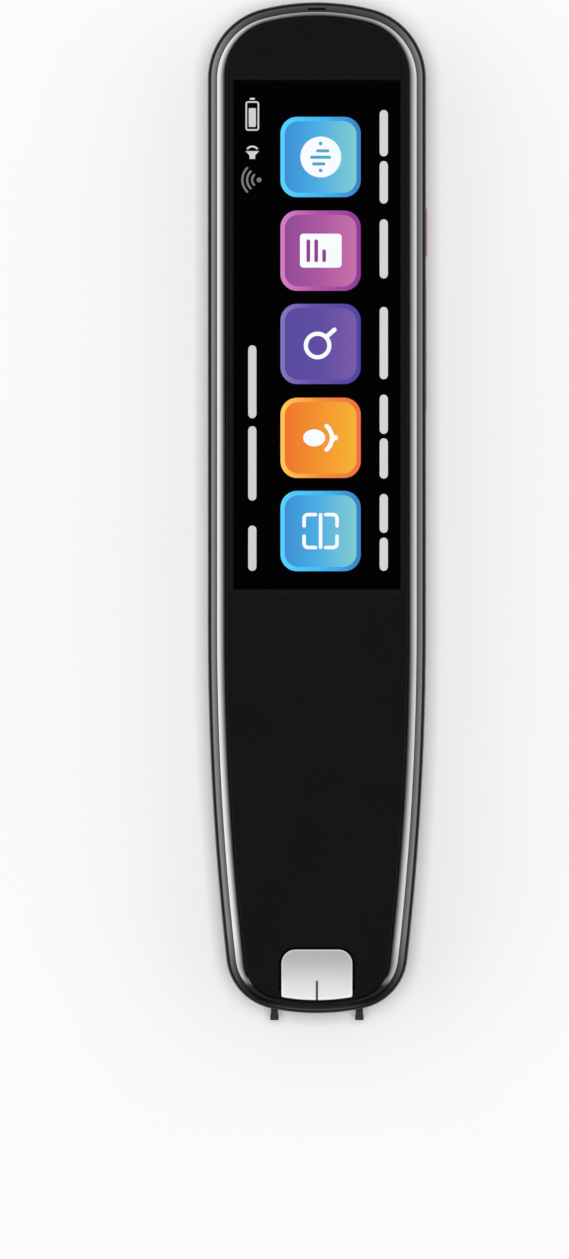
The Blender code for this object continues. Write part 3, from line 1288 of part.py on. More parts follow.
def build_mics():
    low = (-MIC_WIDTH / 2, BOARD_HIGH_Y - FIT_GAP - MIC_LENGTH, CHIP_TOP_Z - MIC_HEIGHT)
    capsule = block("mic", low, (MIC_WIDTH / 2, BOARD_HIGH_Y - FIT_GAP, CHIP_TOP_Z), None, CHIP_BEVEL, 1)
    gold = finish("mic_can", (0.6, 0.5, 0.25), 0.3, 1.0)
    repeated(("mic_right", "mic_left"), capsule, [(MIC_X, 0.0, 0.0), (-MIC_X, 0.0, 0.0)], gold)


# Charging socket

def build_socket():
    steel = finish("socket_steel", (0.62, 0.62, 0.64), 0.25, 1.0)
    outline = moved(socket_outline(0.0), 0.0, SOCKET_Z)
    socket = extruded("usb_socket", outline, SOCKET_REAR_Y, SOCKET_MOUTH_Y, steel, "Y")
    cavity = moved(socket_outline(-SOCKET_WALL), 0.0, SOCKET_Z)
    cavity_rear = SOCKET_REAR_Y + SOCKET_REAR_WALL
    cut(socket, extruded("socket_cavity", cavity, cavity_rear, SOCKET_MOUTH_Y + OVERRUN, None, "Y"))
    half = TONGUE_THICKNESS / 2
    tongue_low = (-TONGUE_HALF_WIDTH, cavity_rear + SEAT_GAP, SOCKET_Z - half)
    tongue_high = (TONGUE_HALF_WIDTH, SOCKET_MOUTH_Y - TONGUE_SETBACK, SOCKET_Z + half)
    black = finish("tongue_black", (0.02, 0.02, 0.02), 0.5)
    block("usb_tongue", tongue_low, tongue_high, black, CHIP_BEVEL, 1)


# Speaker

def frame_solid(name, half_x, half_y, centre_y, width, low, high, material):
    """A flat rectangular frame about a place on the centre line."""
    outer_low, outer_high = (-half_x, centre_y - half_y, low), (half_x, centre_y + half_y, high)
    frame = block(name, outer_low, outer_high, material)
    hole_low = (-half_x + width, centre_y - half_y + width, low - OVERRUN)
    hole_high = (half_x - width, centre_y + half_y - width, high + OVERRUN)
    cut(frame, block(name + "_hole", hole_low, hole_high, None))
    return frame


def build_speaker():
    half_x, half_y = SPEAKER_WIDTH / 2, SPEAKER_LENGTH / 2
    mesh_low = BACK_WALL + TAPE_GAP
    mesh_top = mesh_low + MESH_THICKNESS
    cloth = finish("mesh_black", (0.015, 0.015, 0.015), 0.8)
    sheet_low = (-half_x, SPEAKER_Y - half_y, mesh_low)
    block("grille_mesh", sheet_low, (half_x, SPEAKER_Y + half_y, mesh_top), cloth)
    gasket_low = mesh_top + TAPE_GAP
    gasket_top = gasket_low + GASKET_THICKNESS
    foam = finish("gasket_foam", (0.03, 0.03, 0.03), 0.9)
    frame_solid("speaker_gasket", half_x, half_y, SPEAKER_Y, GASKET_WIDTH, gasket_low, gasket_top, foam)
    frame_low = gasket_top + TAPE_GAP
    frame_top = frame_low + SPEAKER_HEIGHT
    grey = finish("speaker_grey", (0.08, 0.08, 0.085), 0.45)
    low, high = (-half_x, SPEAKER_Y - half_y, frame_low), (half_x, SPEAKER_Y + half_y, frame_top)
    box = block("speaker_frame", low, high, grey)
    well = SPEAKER_CONE_RADIUS + FIT_GAP
    well_top = frame_low + SPEAKER_CONE_HEIGHT + SPEAKER_CONE_THICKNESS + FIT_GAP
    start, end = (0.0, SPEAKER_Y, frame_low - OVERRUN), (0.0, SPEAKER_Y, well_top)
    cut(box, rod("speaker_well", start, end, well, None, CONE_SIDES))
    rise, skin = SPEAKER_CONE_HEIGHT, SPEAKER_CONE_THICKNESS
    profile = (
        (0.0, rise / 2 + skin),
        (SPEAKER_CONE_RADIUS / 2, rise + skin),
        (SPEAKER_CONE_RADIUS, skin),
        (SPEAKER_CONE_RADIUS, 0.0),
        (SPEAKER_CONE_RADIUS / 2, rise),
        (0.0, rise / 2),
    )
    cone = turned("speaker_cone", profile, finish("cone_film", (0.04, 0.04, 0.045), 0.5), CONE_SIDES)
    cone.location = (0.0, SPEAKER_Y, frame_low + TAPE_GAP)


# Side keys

def build_key(name, centre_y, length, proud, material):
    """A key that stands through the side wall, with a flange behind the wall that keeps it in."""
    outline = moved(key_outline(length, 0.0), centre_y, KEY_Z)
    low = KEY_FLANGE_INNER_X + KEY_FLANGE_THICKNESS / 2
    cap = extruded(name, outline, low, HALF_WIDTH + proud, material, "X")
    bevel = cap.modifiers.new("round_edges", "BEVEL")
    bevel.width = KEY_EDGE_RADIUS
    bevel.segments = 2
    flange = moved(key_outline(length, KEY_FLANGE_MARGIN), centre_y, KEY_Z)
    fuse(cap, extruded(name + "_flange", flange, KEY_FLANGE_INNER_X, KEY_FLANGE_OUTER_X, None, "X"))
    return cap


def key_nub(name):
    start, end = (KEY_PLUNGER_INNER_X, 0.0, KEY_Z), (KEY_PLUNGER_OUTER_X, 0.0, KEY_Z)
    return rod(name, start, end, KEY_PLUNGER_RADIUS, None, SMALL_ROUND_SIDES)


def rocker_places():
    half = ROCKER_SWITCH_SPACING / 2
    return [(0.0, ROCKER_Y - half, 0.0), (0.0, ROCKER_Y + half, 0.0)]


def build_keys():
    red = finish("power_red", (0.45, 0.03, 0.06), 0.35)
    power = build_key("power_button", POWER_Y, POWER_LENGTH, POWER_PROUD, red)
    rubber = finish("plunger_rubber", (0.03, 0.03, 0.03), 0.8)
    plunger = copies("power_plunger", key_nub("power_nub"), [(0.0, POWER_Y, 0.0)], rubber)
    carry(joint_empty("power_axis", (HALF_WIDTH, POWER_Y, KEY_Z)), power, plunger)

    black = finish("rocker_black", (0.012, 0.012, 0.013), 0.25)
    rocker = build_key("volume_rocker", ROCKER_Y, ROCKER_LENGTH, ROCKER_PROUD, black)
    half = ROCKER_RIB_WIDTH / 2
    rib_low = (ROCKER_PIVOT_X, ROCKER_Y - half, KEY_Z - half)
    rib_high = (KEY_FLANGE_INNER_X + JOIN_OVERLAP, ROCKER_Y + half, KEY_Z + half)
    fuse(rocker, block("rocker_rib", rib_low, rib_high, None))
    nubs_rubber = finish("rocker_rubber", (0.03, 0.03, 0.03), 0.8)
    names = ("rocker_plunger_low", "rocker_plunger_high")
    nubs = repeated(names, key_nub("rocker_nub"), rocker_places(), nubs_rubber)
    carry(joint_empty("rocker_axis", (ROCKER_PIVOT_X, ROCKER_Y, KEY_Z)), rocker, *nubs)


def build_key_board():
    top = CHASSIS_LOW_Z - SEAT_GAP
    low_y = ROCKER_Y - ROCKER_LENGTH / 2 - KEY_BOARD_MARGIN
    high_y = POWER_Y + POWER_LENGTH / 2 + KEY_BOARD_MARGIN
    low, high = (KEY_BOARD_INNER_X, low_y, top - KEY_BOARD_HEIGHT), (KEY_BOARD_OUTER_X, high_y, top)
    block("side_key_board", low, high, finish("key_board_green", (0.015, 0.1, 0.04), 0.5))
    half_y, half_z = KEY_SWITCH_WIDTH / 2, KEY_SWITCH_HEIGHT / 2
    switch_low = (KEY_SWITCH_INNER_X, -half_y, KEY_Z - half_z)
    switch_high = (KEY_SWITCH_OUTER_X, half_y, KEY_Z + half_z)
    switch = block("key_switch", switch_low, switch_high, None, CHIP_BEVEL, 1)
    steel = finish("key_switch_steel", (0.55, 0.55, 0.56), 0.3, 1.0)
    names = ("power_switch", "volume_down_switch", "volume_up_switch")
    repeated(names, switch, [(0.0, POWER_Y, 0.0), *rocker_places()], steel)


def build_antenna():
    outer = -WALL_INNER_X + FIT_GAP
    low = (outer, ANTENNA_LOW_Y, KEY_Z - ANTENNA_HEIGHT / 2)
    high = (outer + ANTENNA_THICKNESS, ANTENNA_LOW_Y + ANTENNA_LENGTH, KEY_Z + ANTENNA_HEIGHT / 2)
    block("antenna_strip", low, high, finish("antenna_copper", (0.6, 0.3, 0.12), 0.35, 1.0))


# Case screws

def build_case_screws():
    head_low = CASE_SCREW_RECESS
    head_top = head_low + CASE_SCREW_HEAD_HEIGHT
    profile = (
        (0.0, CASE_SCREW_TIP_Z),
        (CASE_SCREW_RADIUS, CASE_SCREW_TIP_Z),
        (CASE_SCREW_RADIUS, head_top),
        (CASE_SCREW_HEAD_RADIUS, head_top),
        (CASE_SCREW_HEAD_RADIUS, head_low),
        (0.0, head_low),
    )
    steel = finish("case_screw_black", (0.03, 0.03, 0.03), 0.35, 1.0)
    screw = turned("case_screw", profile, None)
    half_long, half_wide = CASE_SCREW_DRIVE_LENGTH / 2, CASE_SCREW_DRIVE_WIDTH / 2
    low_z, high_z = head_low - OVERRUN, head_low + CASE_SCREW_DRIVE_DEPTH
    across_low, across_high = (-half_long, -half_wide, low_z), (half_long, half_wide, high_z)
    along_low, along_high = (-half_wide, -half_long, low_z), (half_wide, half_long, high_z)
    cut(screw, block("drive_across", across_low, across_high, None))
    cut(screw, block("drive_along", along_low, along_high, None))
    names = ("case_screw_top_right", "case_screw_top_left", "case_screw_tip_right", "case_screw_tip_left")
    repeated(names, screw, [(x, y, 0.0) for x, y in CASE_SCREW_PLACES], steel)


def build_pen():
    build_rear_shell()
    build_bezel_frame()
    build_lens_tape()
    build_front_lens()
    build_sight_window()
    build_display()
    build_inner_chassis()
    build_nib()
    build_head_hood()
    build_led_board()
    build_camera()
    build_battery()
    build_main_board()
    build_chips()
    build_board_connectors()
    build_board_screws()
    build_mics()
    build_socket()
    build_speaker()
    build_keys()
    build_key_board()
    build_antenna()
    build_case_screws()


build_pen()
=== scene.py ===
# %% [markdown]
# # A scanning translator pen, dressed for its photograph
# The pen is a slim scanner with a long display. Its solids come packed from CAD in one frame: +Z leaves the
# display, +Y runs from the scanning tip to the charging socket, and the back lies on the floor. Everything
# is in metres. Finer pieces are built where the camera sees more than the solids show, and every solid gets
# a finish of its own.
# %% Load the packed frame
import math

import bmesh
import bpy
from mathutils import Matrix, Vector


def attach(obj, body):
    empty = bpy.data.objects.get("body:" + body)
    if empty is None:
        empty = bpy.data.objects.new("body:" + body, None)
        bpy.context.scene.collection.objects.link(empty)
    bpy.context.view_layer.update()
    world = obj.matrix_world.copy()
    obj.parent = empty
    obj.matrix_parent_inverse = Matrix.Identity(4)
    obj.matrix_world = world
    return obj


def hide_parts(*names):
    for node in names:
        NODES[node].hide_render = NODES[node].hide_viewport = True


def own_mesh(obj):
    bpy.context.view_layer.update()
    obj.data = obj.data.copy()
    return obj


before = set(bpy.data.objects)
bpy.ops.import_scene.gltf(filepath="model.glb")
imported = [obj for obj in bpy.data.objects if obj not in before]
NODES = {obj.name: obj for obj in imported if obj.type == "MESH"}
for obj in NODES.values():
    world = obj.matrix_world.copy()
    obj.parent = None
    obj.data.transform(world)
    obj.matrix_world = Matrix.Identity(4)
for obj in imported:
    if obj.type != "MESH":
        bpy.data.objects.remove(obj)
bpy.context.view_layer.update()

MM = 0.001

# %% [markdown]
# ## Finishes written as sums
# A finish in Blender is a small graph of nodes. Drawing it by hand hides the idea behind many wires, so one
# class wraps an output socket and lets it stand in a Python expression. Each operator then adds the Math
# node it needs.
# %% A socket that stands in an expression
class Wire:
    """An output socket. A sum, difference, product or quotient with it adds the node that works it out."""

    def __init__(self, board, socket):
        self.board = board
        self.socket = socket

    def maths(self, operation, first, second):
        return self.board.node("Math", {"operation": operation}, {0: first, 1: second})

    def __add__(self, other):
        return self.maths("ADD", self, other)

    def __sub__(self, other):
        return self.maths("SUBTRACT", self, other)

    def __rsub__(self, other):
        return self.maths("SUBTRACT", other, self)

    def __mul__(self, other):
        return self.maths("MULTIPLY", self, other)

    __radd__ = __add__
    __rmul__ = __mul__


print("operators:", [name for name in vars(Wire) if name.startswith("__r")])

# %% [markdown]
# Any other node comes from one method. It takes the node's type, then its settings, then the values or
# links of its sockets, in that order, because some settings decide which sockets the node has.
# %% A board of nodes
class Board:
    """The nodes of a material or of the world."""

    def __init__(self, owner):
        owner.use_nodes = True
        self.owner = owner
        self.tree = owner.node_tree

    def feed(self, socket, value):
        if isinstance(value, Wire):
            self.tree.links.new(value.socket, socket)
        elif socket.type == "RGBA":
            socket.default_value = (*value, 1.0)
        else:
            socket.default_value = value

    def node(self, kind, settings=None, inputs=None, output=0):
        made = self.tree.nodes.new("ShaderNode" + kind)
        for name, value in (settings or {}).items():
            if name == "stops":
                self.set_stops(made.color_ramp, value)
            else:
                setattr(made, name, value)
        for key, value in (inputs or {}).items():
            self.feed(made.inputs[key], value)
        return Wire(self, made.outputs[output])

    def set_stops(self, ramp, stops):
        for _ in stops[2:]:
            ramp.elements.new(0.5)
        for element, (place, colour) in zip(ramp.elements, stops):
            element.position = place
            element.color = (*colour, 1.0)

    def absolute(self, value):
        return self.node("Math", {"operation": "ABSOLUTE"}, {0: value})

    def larger(self, value, least):
        return self.node("Math", {"operation": "MAXIMUM"}, {0: value, 1: least})

    def power(self, value, exponent):
        return self.node("Math", {"operation": "POWER"}, {0: value, 1: exponent})

    def rise(self, value, low, high):
        """0 below low, 1 above high, and a smooth rise between them."""
        return self.node("MapRange", {"interpolation_type": "SMOOTHSTEP"}, {0: value, 1: low, 2: high})

    def blend(self, share, first, second):
        """One colour into another, through a Mix node, because a Math node would turn them grey."""
        return self.node("Mix", {"data_type": "RGBA"}, {0: share, 6: first, 7: second}, 2)


print("board methods:", [name for name in vars(Board) if not name.startswith("_")])

# %% [markdown]
# A finish starts from Blender's Principled shader. What is the same all over is set on the shader's own
# sockets, and only what varies over the piece is wired. Patterns read the piece's own coordinates in
# millimetres, so a grain that is 0.2 mm wide on the real thing is 0.2 mm wide here, whatever the size of
# the piece.
# %% A finish
class Finish(Board):
    """A material whose Principled shader takes plain values, and patterns measured in millimetres."""

    def __init__(self, name, plain):
        super().__init__(bpy.data.materials.new(name))
        self.shader = self.tree.nodes["Principled BSDF"]
        for socket, value in plain.items():
            self.feed(self.shader.inputs[socket], value)
        spot = self.node("TexCoord", output="Object")
        self.place = self.node("VectorMath", {"operation": "SCALE"}, {0: spot, "Scale": 1 / MM})

    def wire(self, socket, value):
        self.feed(self.shader.inputs[socket], value)

    def along(self, axis):
        return self.node("SeparateXYZ", None, {0: self.place}, axis)

    def xyz(self):
        return [self.along(axis) for axis in "XYZ"]

    def noise(self, size, detail=2.0, stretch=(1.0, 1.0, 1.0)):
        """Cloudy values about one half, with lumps of a size in millimetres."""
        spot = self.node("VectorMath", {"operation": "MULTIPLY"}, {0: self.place, 1: stretch})
        return self.node("TexNoise", None, {"Vector": spot, "Scale": 1 / size, "Detail": detail})

    def cells(self, size):
        return self.node("TexVoronoi", None, {"Vector": self.place, "Scale": 1 / size})

    def bump(self, height, depth):
        """A skin that stands up to a depth in millimetres."""
        inputs = {"Height": height, "Strength": 1.0, "Distance": depth * MM}
        self.wire("Normal", self.node("Bump", None, inputs))


def shade(red, green, blue):
    """A colour as seen on a screen, from 0 to 255, turned into the light that Blender reckons with."""
    shares = [channel / 255 for channel in (red, green, blue)]
    return tuple(s / 12.92 if s <= 0.04045 else ((s + 0.055) / 1.055) ** 2.4 for s in shares)


def times(colour, factor):
    return tuple(channel * factor for channel in colour)


print("lens black as light:", [round(v, 4) for v in shade(24, 24, 25)])

# %% [markdown]
# ## The outline of the pen
# Seen from the front the pen is a wide dome, two shoulders, straight sides, a long shallow taper, two
# corners and the dome of the tip, all meeting smoothly. Arcs of circles give that exactly, so the outline
# is made of them, as in the solids, only in finer steps. An inset draws it in, which gives the lip, the
# ring and the glass from one rule.
# %% Sizes of the outline, in millimetres
HALF_WIDTH = 15.4
TOP_Y, TIP_Y = 71.3, -71.3
TOP_DOME_RADIUS, SHOULDER_RADIUS = 31.5, 10.15
TAPER_START_Y, TAPER_RADIUS = -17.05, 417.0
CORNER_RADIUS, TIP_DOME_RADIUS = 7.9, 31.1
DOME_STEPS, SHOULDER_STEPS, TAPER_STEPS, CORNER_STEPS = 14, 20, 12, 18


def arc(centre, radius, start, end, steps, closed=False):
    """Points along an arc, without its last one unless it is closed."""
    angles = [start + (end - start) * step / steps for step in range(steps + closed)]
    return [(centre[0] + radius * math.cos(a), centre[1] + radius * math.sin(a)) for a in angles]


def angle_between(origin, target):
    return math.atan2(target[1] - origin[1], target[0] - origin[0])


def circle_crossing(first, first_radius, second, second_radius):
    """The crossing of two circles that lies on the tip side."""
    across = Vector(second) - Vector(first)
    distance = across.length
    along = (distance**2 + first_radius**2 - second_radius**2) / (2 * distance)
    height = math.sqrt(first_radius**2 - along**2)
    direction = across / distance
    side = Vector((direction.y, -direction.x))
    crossings = [Vector(first) + direction * along + side * height * sign for sign in (1, -1)]
    return min(crossings, key=lambda point: point.y)


def pen_outline(insets):
    """The front outline, drawn in by a side, a top and a tip inset."""
    side, top, tip = insets
    dome_radius, shoulder_radius = TOP_DOME_RADIUS - side, SHOULDER_RADIUS - side
    corner_radius, tip_radius = CORNER_RADIUS - side, TIP_DOME_RADIUS - side
    dome = (0.0, TOP_Y - top - dome_radius)
    shoulder_x = HALF_WIDTH - SHOULDER_RADIUS
    rise = math.sqrt((dome_radius - shoulder_radius) ** 2 - shoulder_x**2)
    shoulder = (shoulder_x, dome[1] + rise)
    taper = (HALF_WIDTH - TAPER_RADIUS, TAPER_START_Y)
    tip_dome = (0.0, TIP_Y + tip + tip_radius)
    corner = circle_crossing(taper, TAPER_RADIUS - CORNER_RADIUS, tip_dome, TIP_DOME_RADIUS - CORNER_RADIUS)
    dome_end, taper_end = angle_between(dome, shoulder), angle_between(taper, corner)
    corner_end = angle_between(tip_dome, corner)
    half = arc(dome, dome_radius, math.pi / 2, dome_end, DOME_STEPS)
    half += arc(shoulder, shoulder_radius, dome_end, 0.0, SHOULDER_STEPS)
    half.append((HALF_WIDTH - side, shoulder[1]))
    half += arc(taper, TAPER_RADIUS - side, 0.0, taper_end, TAPER_STEPS)
    half += arc(corner, corner_radius, taper_end, corner_end, CORNER_STEPS)
    half += arc(tip_dome, tip_radius, corner_end, -math.pi / 2, DOME_STEPS, closed=True)
    return half + [(-x, y) for x, y in reversed(half[1:-1])]


def even(inset):
    return (inset, inset, inset)


def blend_insets(first, second, share):
    return tuple(a + (b - a) * share for a, b in zip(first, second))


def ring_at(insets, z):
    return [(x, y, z) for x, y in pen_outline(insets)]


print("points round the outline:", len(pen_outline(even(0.0))))

# %% [markdown]
# ## Making meshes
# Three ways of making a mesh cover the pen. A loft is a skin over rings of as many points each, and suits
# the shell, the ring and the glass. A prism is a flat outline with thickness. A ribbon is a line with width
# and round ends, which suits the drawing on the display. All of them give closed bodies, so that they can
# be cut with one another.
# %% Meshes from rings and outlines
SHARP_ANGLE, BEVEL_ANGLE = math.radians(32), math.radians(50)


def add_piece(name, bm, finish, smooth=True):
    """Turns millimetres into metres, and the bmesh into an object at the frame's origin."""
    bmesh.ops.scale(bm, vec=(MM, MM, MM), verts=bm.verts)
    bmesh.ops.recalc_face_normals(bm, faces=bm.faces)
    mesh = bpy.data.meshes.new(name)
    bm.to_mesh(mesh)
    bm.free()
    piece = bpy.data.objects.new(name, mesh)
    bpy.context.scene.collection.objects.link(piece)
    if finish:
        mesh.materials.append(finish.owner)
    if smooth:
        smooth_off(mesh)
    return piece


def smooth_off(mesh):
    mesh.shade_smooth()
    mesh.set_sharp_from_angle(angle=SHARP_ANGLE)


def skin(bm, rings, closed):
    """Faces between rings of points. An open skin is shut with a flat face at each end."""
    loops = [[bm.verts.new(point) for point in ring] for ring in rings]
    pairs = list(zip(loops, loops[1:]))
    if closed:
        pairs.append((loops[-1], loops[0]))
    else:
        bm.faces.new(loops[0])
        bm.faces.new(loops[-1])
    for near, far in pairs:
        for index in range(len(near)):
            after = (index + 1) % len(near)
            bm.faces.new((near[index], near[after], far[after], far[index]))


def loft(name, rings, finish, closed=False):
    bm = bmesh.new()
    skin(bm, rings, closed)
    return add_piece(name, bm, finish)


# Where a flat outline's own x and y, and its thickness, point in the frame
TURNS = {
    "X": lambda u, v, w: (w, u, v),
    "Y": lambda u, v, w: (u, w, v),
    "Z": lambda u, v, w: (u, v, w),
}


def prism(bm, outline, low, high, axis="Z"):
    turn = TURNS[axis]
    skin(bm, [[turn(u, v, w) for u, v in outline] for w in (low, high)], False)


def plates(name, outlines, low, high, finish):
    """One piece of flat parts that share their thickness."""
    bm = bmesh.new()
    for outline in outlines:
        prism(bm, outline, low, high)
    return add_piece(name, bm, finish)


def rounded_box(half_x, half_y, radius, centre=(0.0, 0.0), steps=8):
    points = []
    for turn, (sign_x, sign_y) in enumerate(((1, 1), (-1, 1), (-1, -1), (1, -1))):
        middle = (centre[0] + sign_x * (half_x - radius), centre[1] + sign_y * (half_y - radius))
        start = turn * math.pi / 2
        points += arc(middle, radius, start, start + math.pi / 2, steps, closed=True)
    return points


def circle(centre, radius, steps=40):
    return arc(centre, radius, 0.0, 2 * math.pi, steps)


print("sharp edges from", round(math.degrees(SHARP_ANGLE)), "degrees")

# %% [markdown]
# Holes are cut as a machinist would: all the cutters for one piece are gathered in one mesh, and Blender's
# exact Boolean takes them away together. That is quicker than one Boolean each, and the result is again a
# closed body.
# %% Cutting and joining
def reshape(piece, bm, operation):
    """Cuts or joins the bodies in a bmesh to a piece, and keeps the result as its mesh."""
    tool = add_piece(piece.name + "_tool", bm, None, smooth=False)
    modifier = piece.modifiers.new("shape", "BOOLEAN")
    modifier.operation = operation
    modifier.solver = "EXACT"
    modifier.object = tool
    apply_modifiers(piece)
    bpy.data.objects.remove(tool, do_unlink=True)
    return piece


def apply_modifiers(piece):
    bpy.context.view_layer.update()
    evaluated = piece.evaluated_get(bpy.context.evaluated_depsgraph_get())
    mesh = bpy.data.meshes.new_from_object(evaluated)
    mesh.name = piece.name
    piece.modifiers.clear()
    piece.data = mesh
    smooth_off(mesh)


def round_edges(piece, width, segments):
    bevel = piece.modifiers.new("round_edges", "BEVEL")
    bevel.width = width * MM
    bevel.segments = segments
    bevel.limit_method = "ANGLE"
    bevel.angle_limit = BEVEL_ANGLE
    apply_modifiers(piece)


def level_faces(piece, least_area):
    """Keeps large flat faces from looking domed beside a rounded edge. The area is in square millimetres."""
    mesh = piece.data
    rims = {key for face in mesh.polygons if face.area > least_area * MM**2 for key in face.edge_keys}
    for edge in mesh.edges:
        if edge.key in rims:
            edge.use_edge_sharp = True
    mesh.update()


def stands_for(piece, body, slot, *nodes):
    """A piece rides on its body and stands for the solids it replaces, which are hidden. The slot is not
    used.
    """
    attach(piece, body)
    if nodes:
        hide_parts(*nodes)
    size = [round(v / MM, 2) for v in piece.dimensions]
    print(f"{piece.name}: {len(piece.data.polygons)} faces, {size} mm")
    return piece


# %% [markdown]
# ## The case
# The back of the real pen is one glossy black moulding whose top edge carries a grey satin band. A paint
# mask by height gives both on one piece, which is how a two-tone lacquer is sprayed. The clear coat ends
# below the lip, or the lip would mirror the pale floor. The band's grey is painted darker round both ends,
# most at the corners of the tip, as painted shade where the lights reach it least. The skin of such a
# moulding is never quite flat, so a faint ripple and an uneven gloss break up its reflections.
# %% The lacquer of the case
BAND_LOW_Z, BAND_FULL_Z, COAT_END_Z, COAT_FULL_Z = 10.96, 11.2, 9.2, 8.2
TIP_SHADE_START_Y, TIP_SHADE_FULL_Y, TOP_SHADE_START_Y, TOP_SHADE_FULL_Y = -58.5, -69.5, 63.5, 69.5
CORNER_SHADE_START_X, CORNER_SHADE_FULL_X = 3.0, 8.5
BAND_PAINTED_SHADE, CORNER_PAINTED_SHADE = (0.15, 0.152, 0.155), (0.045, 0.046, 0.047)


def case_lacquer():
    finish = Finish("case_lacquer", {"Specular IOR Level": 0.01, "Coat Roughness": 0.12, "Coat IOR": 1.4})
    x, y, z = finish.xyz()
    clouds = finish.noise(6.0, 3.0)
    band = finish.rise(z, BAND_LOW_Z, BAND_FULL_Z)
    black = finish.blend(clouds, (0.0075, 0.0075, 0.008), (0.0105, 0.0105, 0.011))
    grey = finish.blend(clouds, (0.275, 0.278, 0.282), (0.305, 0.308, 0.312))
    # Painted shade: the band's grey is painted darker at the top end and at the tip, darkest at the tip's
    # corners.
    corner = finish.rise(finish.absolute(x), CORNER_SHADE_START_X, CORNER_SHADE_FULL_X)
    grey = finish.blend(finish.rise(y, TOP_SHADE_START_Y, TOP_SHADE_FULL_Y), grey, BAND_PAINTED_SHADE)
    tip = finish.rise(y, TIP_SHADE_START_Y, TIP_SHADE_FULL_Y)
    grey = finish.blend(tip, grey, finish.blend(corner, BAND_PAINTED_SHADE, CORNER_PAINTED_SHADE))
    finish.wire("Base Color", finish.blend(band, black, grey))
    finish.wire("Metallic", band * 0.96)
    finish.wire("Coat Weight", finish.rise(z, COAT_END_Z, COAT_FULL_Z) * 0.6)
    finish.wire("Roughness", 0.2 + clouds * 0.08 + band * 0.1)
    finish.bump(finish.noise(2.2, 1.0), 0.004)
    return finish


CASE_LACQUER = case_lacquer()
print("band from", BAND_LOW_Z, "to", BAND_FULL_Z, "mm up")

# %% [markdown]
# The shell is lofted from rings: up the rounded back edge, up the side, over the lip, down into the seat of
# the bright ring, and down the inner wall to the floor. Posts for the four case screws are joined on, and
# then the mouth of the scanner, the slots for the feet and the keys, the port, the sound slots, the pin
# holes and a shallow slot in the lip are cut.
# %% Sizes of the shell, in millimetres
BACK_WALL, SIDE_WALL = 1.4, 1.5
BACK_EDGE_INSET, BACK_EDGE_HEIGHT, FLOOR_EDGE_INSET = 4.6, 5.0, 3.4
SIDE_TOP_Z, LIP_TOP_Z, RING_SEAT_Z = 8.0, 11.5, 10.4
RING_SEAT_INSET, RING_SEAT_DEPTH = 2.6, 0.8
RIM_INSETS = (1.3, 1.42, 1.24)
LIP_INSET, LIP_LOW_LEAN, LIP_TOP_LEAN = 0.3, math.radians(60), math.radians(12)
EDGE_STEPS, BEND_STEPS, LIP_STEPS = 12, 6, 9
OVERRUN = 2.0


def lip_profile():
    """Insets and heights from the straight side to the top of the lip: a slow bend, then a tighter arc."""
    radius = (RIM_INSETS[0] - LIP_INSET) / (math.sin(LIP_LOW_LEAN) - math.sin(LIP_TOP_LEAN))
    join_z = LIP_TOP_Z - radius * (math.cos(LIP_TOP_LEAN) - math.cos(LIP_LOW_LEAN))
    pull_z = join_z - LIP_INSET * math.tan(LIP_LOW_LEAN)
    points = []
    for step in range(BEND_STEPS):
        share = step / BEND_STEPS
        height = SIDE_TOP_Z * (1 - share) ** 2 + 2 * pull_z * share * (1 - share) + join_z * share**2
        points.append((LIP_INSET * share**2, height))
    for step in range(LIP_STEPS + 1):
        lean = LIP_LOW_LEAN + (LIP_TOP_LEAN - LIP_LOW_LEAN) * step / LIP_STEPS
        inset = LIP_INSET + radius * (math.sin(LIP_LOW_LEAN) - math.sin(lean))
        points.append((inset, join_z + radius * (math.cos(lean) - math.cos(LIP_LOW_LEAN))))
    return points


def shell_rings():
    quarter = math.pi / 2
    turns = [quarter * step / EDGE_STEPS for step in range(EDGE_STEPS + 1)]
    rings = [
        ring_at(even(BACK_EDGE_INSET * (1 - math.sin(turn))), BACK_EDGE_HEIGHT * (1 - math.cos(turn)))
        for turn in turns
    ]
    for inset, z in lip_profile():
        rings.append(ring_at(blend_insets(even(0.0), RIM_INSETS, inset / RIM_INSETS[0]), z))
    rings.append(ring_at(RIM_INSETS, RING_SEAT_Z))
    rings.append(ring_at(even(RING_SEAT_INSET), RING_SEAT_Z))
    rings.append(ring_at(even(RING_SEAT_INSET), RING_SEAT_Z - RING_SEAT_DEPTH))
    rings.append(ring_at(even(SIDE_WALL), SIDE_TOP_Z))
    for turn in reversed(turns):
        inset = SIDE_WALL + FLOOR_EDGE_INSET * (1 - math.sin(turn))
        rings.append(ring_at(even(inset), BACK_WALL + (BACK_EDGE_HEIGHT - BACK_WALL) * (1 - math.cos(turn))))
    return rings


print("shell rings:", len(shell_rings()))

# %% Openings of the shell
# Sizes and places in millimetres. A slot or hole has half its width, half its height, and its depth from the
# outline.
SCREW_PLACES = ((10.9, 50.0), (-10.9, 50.0), (9.4, -47.5), (-9.4, -47.5))
KEY_Z, KEY_HALF_HEIGHT, KEY_GAP = 6.2, 1.2, 0.25
KEYS = ((38.9, 6.8), (22.95, 18.3))
SOCKET_Z, PORT_HALF_WIDTH, PORT_HALF_HEIGHT = 5.7, 4.87, 2.0
FOOT_X, MIC_X, SPEAKER_Y, PORT_DEPTH = 6.0, 7.0, 48.0, 5.0
POST_RADIUS, POST_TOP_Z, POST_SINK = 1.6, 7.3, 0.3
BORE_RADIUS, RECESS_RADIUS, RECESS_TOP_Z = 0.75, 1.45, 1.1
SOUND_HALF_LENGTH, SOUND_HALF_WIDTH, SOUND_PITCH = 4.0, 0.45, 1.9
MOUTH_HALF_WIDTH, MOUTH_HALF_HEIGHT, MOUTH_RADIUS, MOUTH_Z, MOUTH_DEPTH = 4.3, 2.1, 0.6, 4.6, 6.0
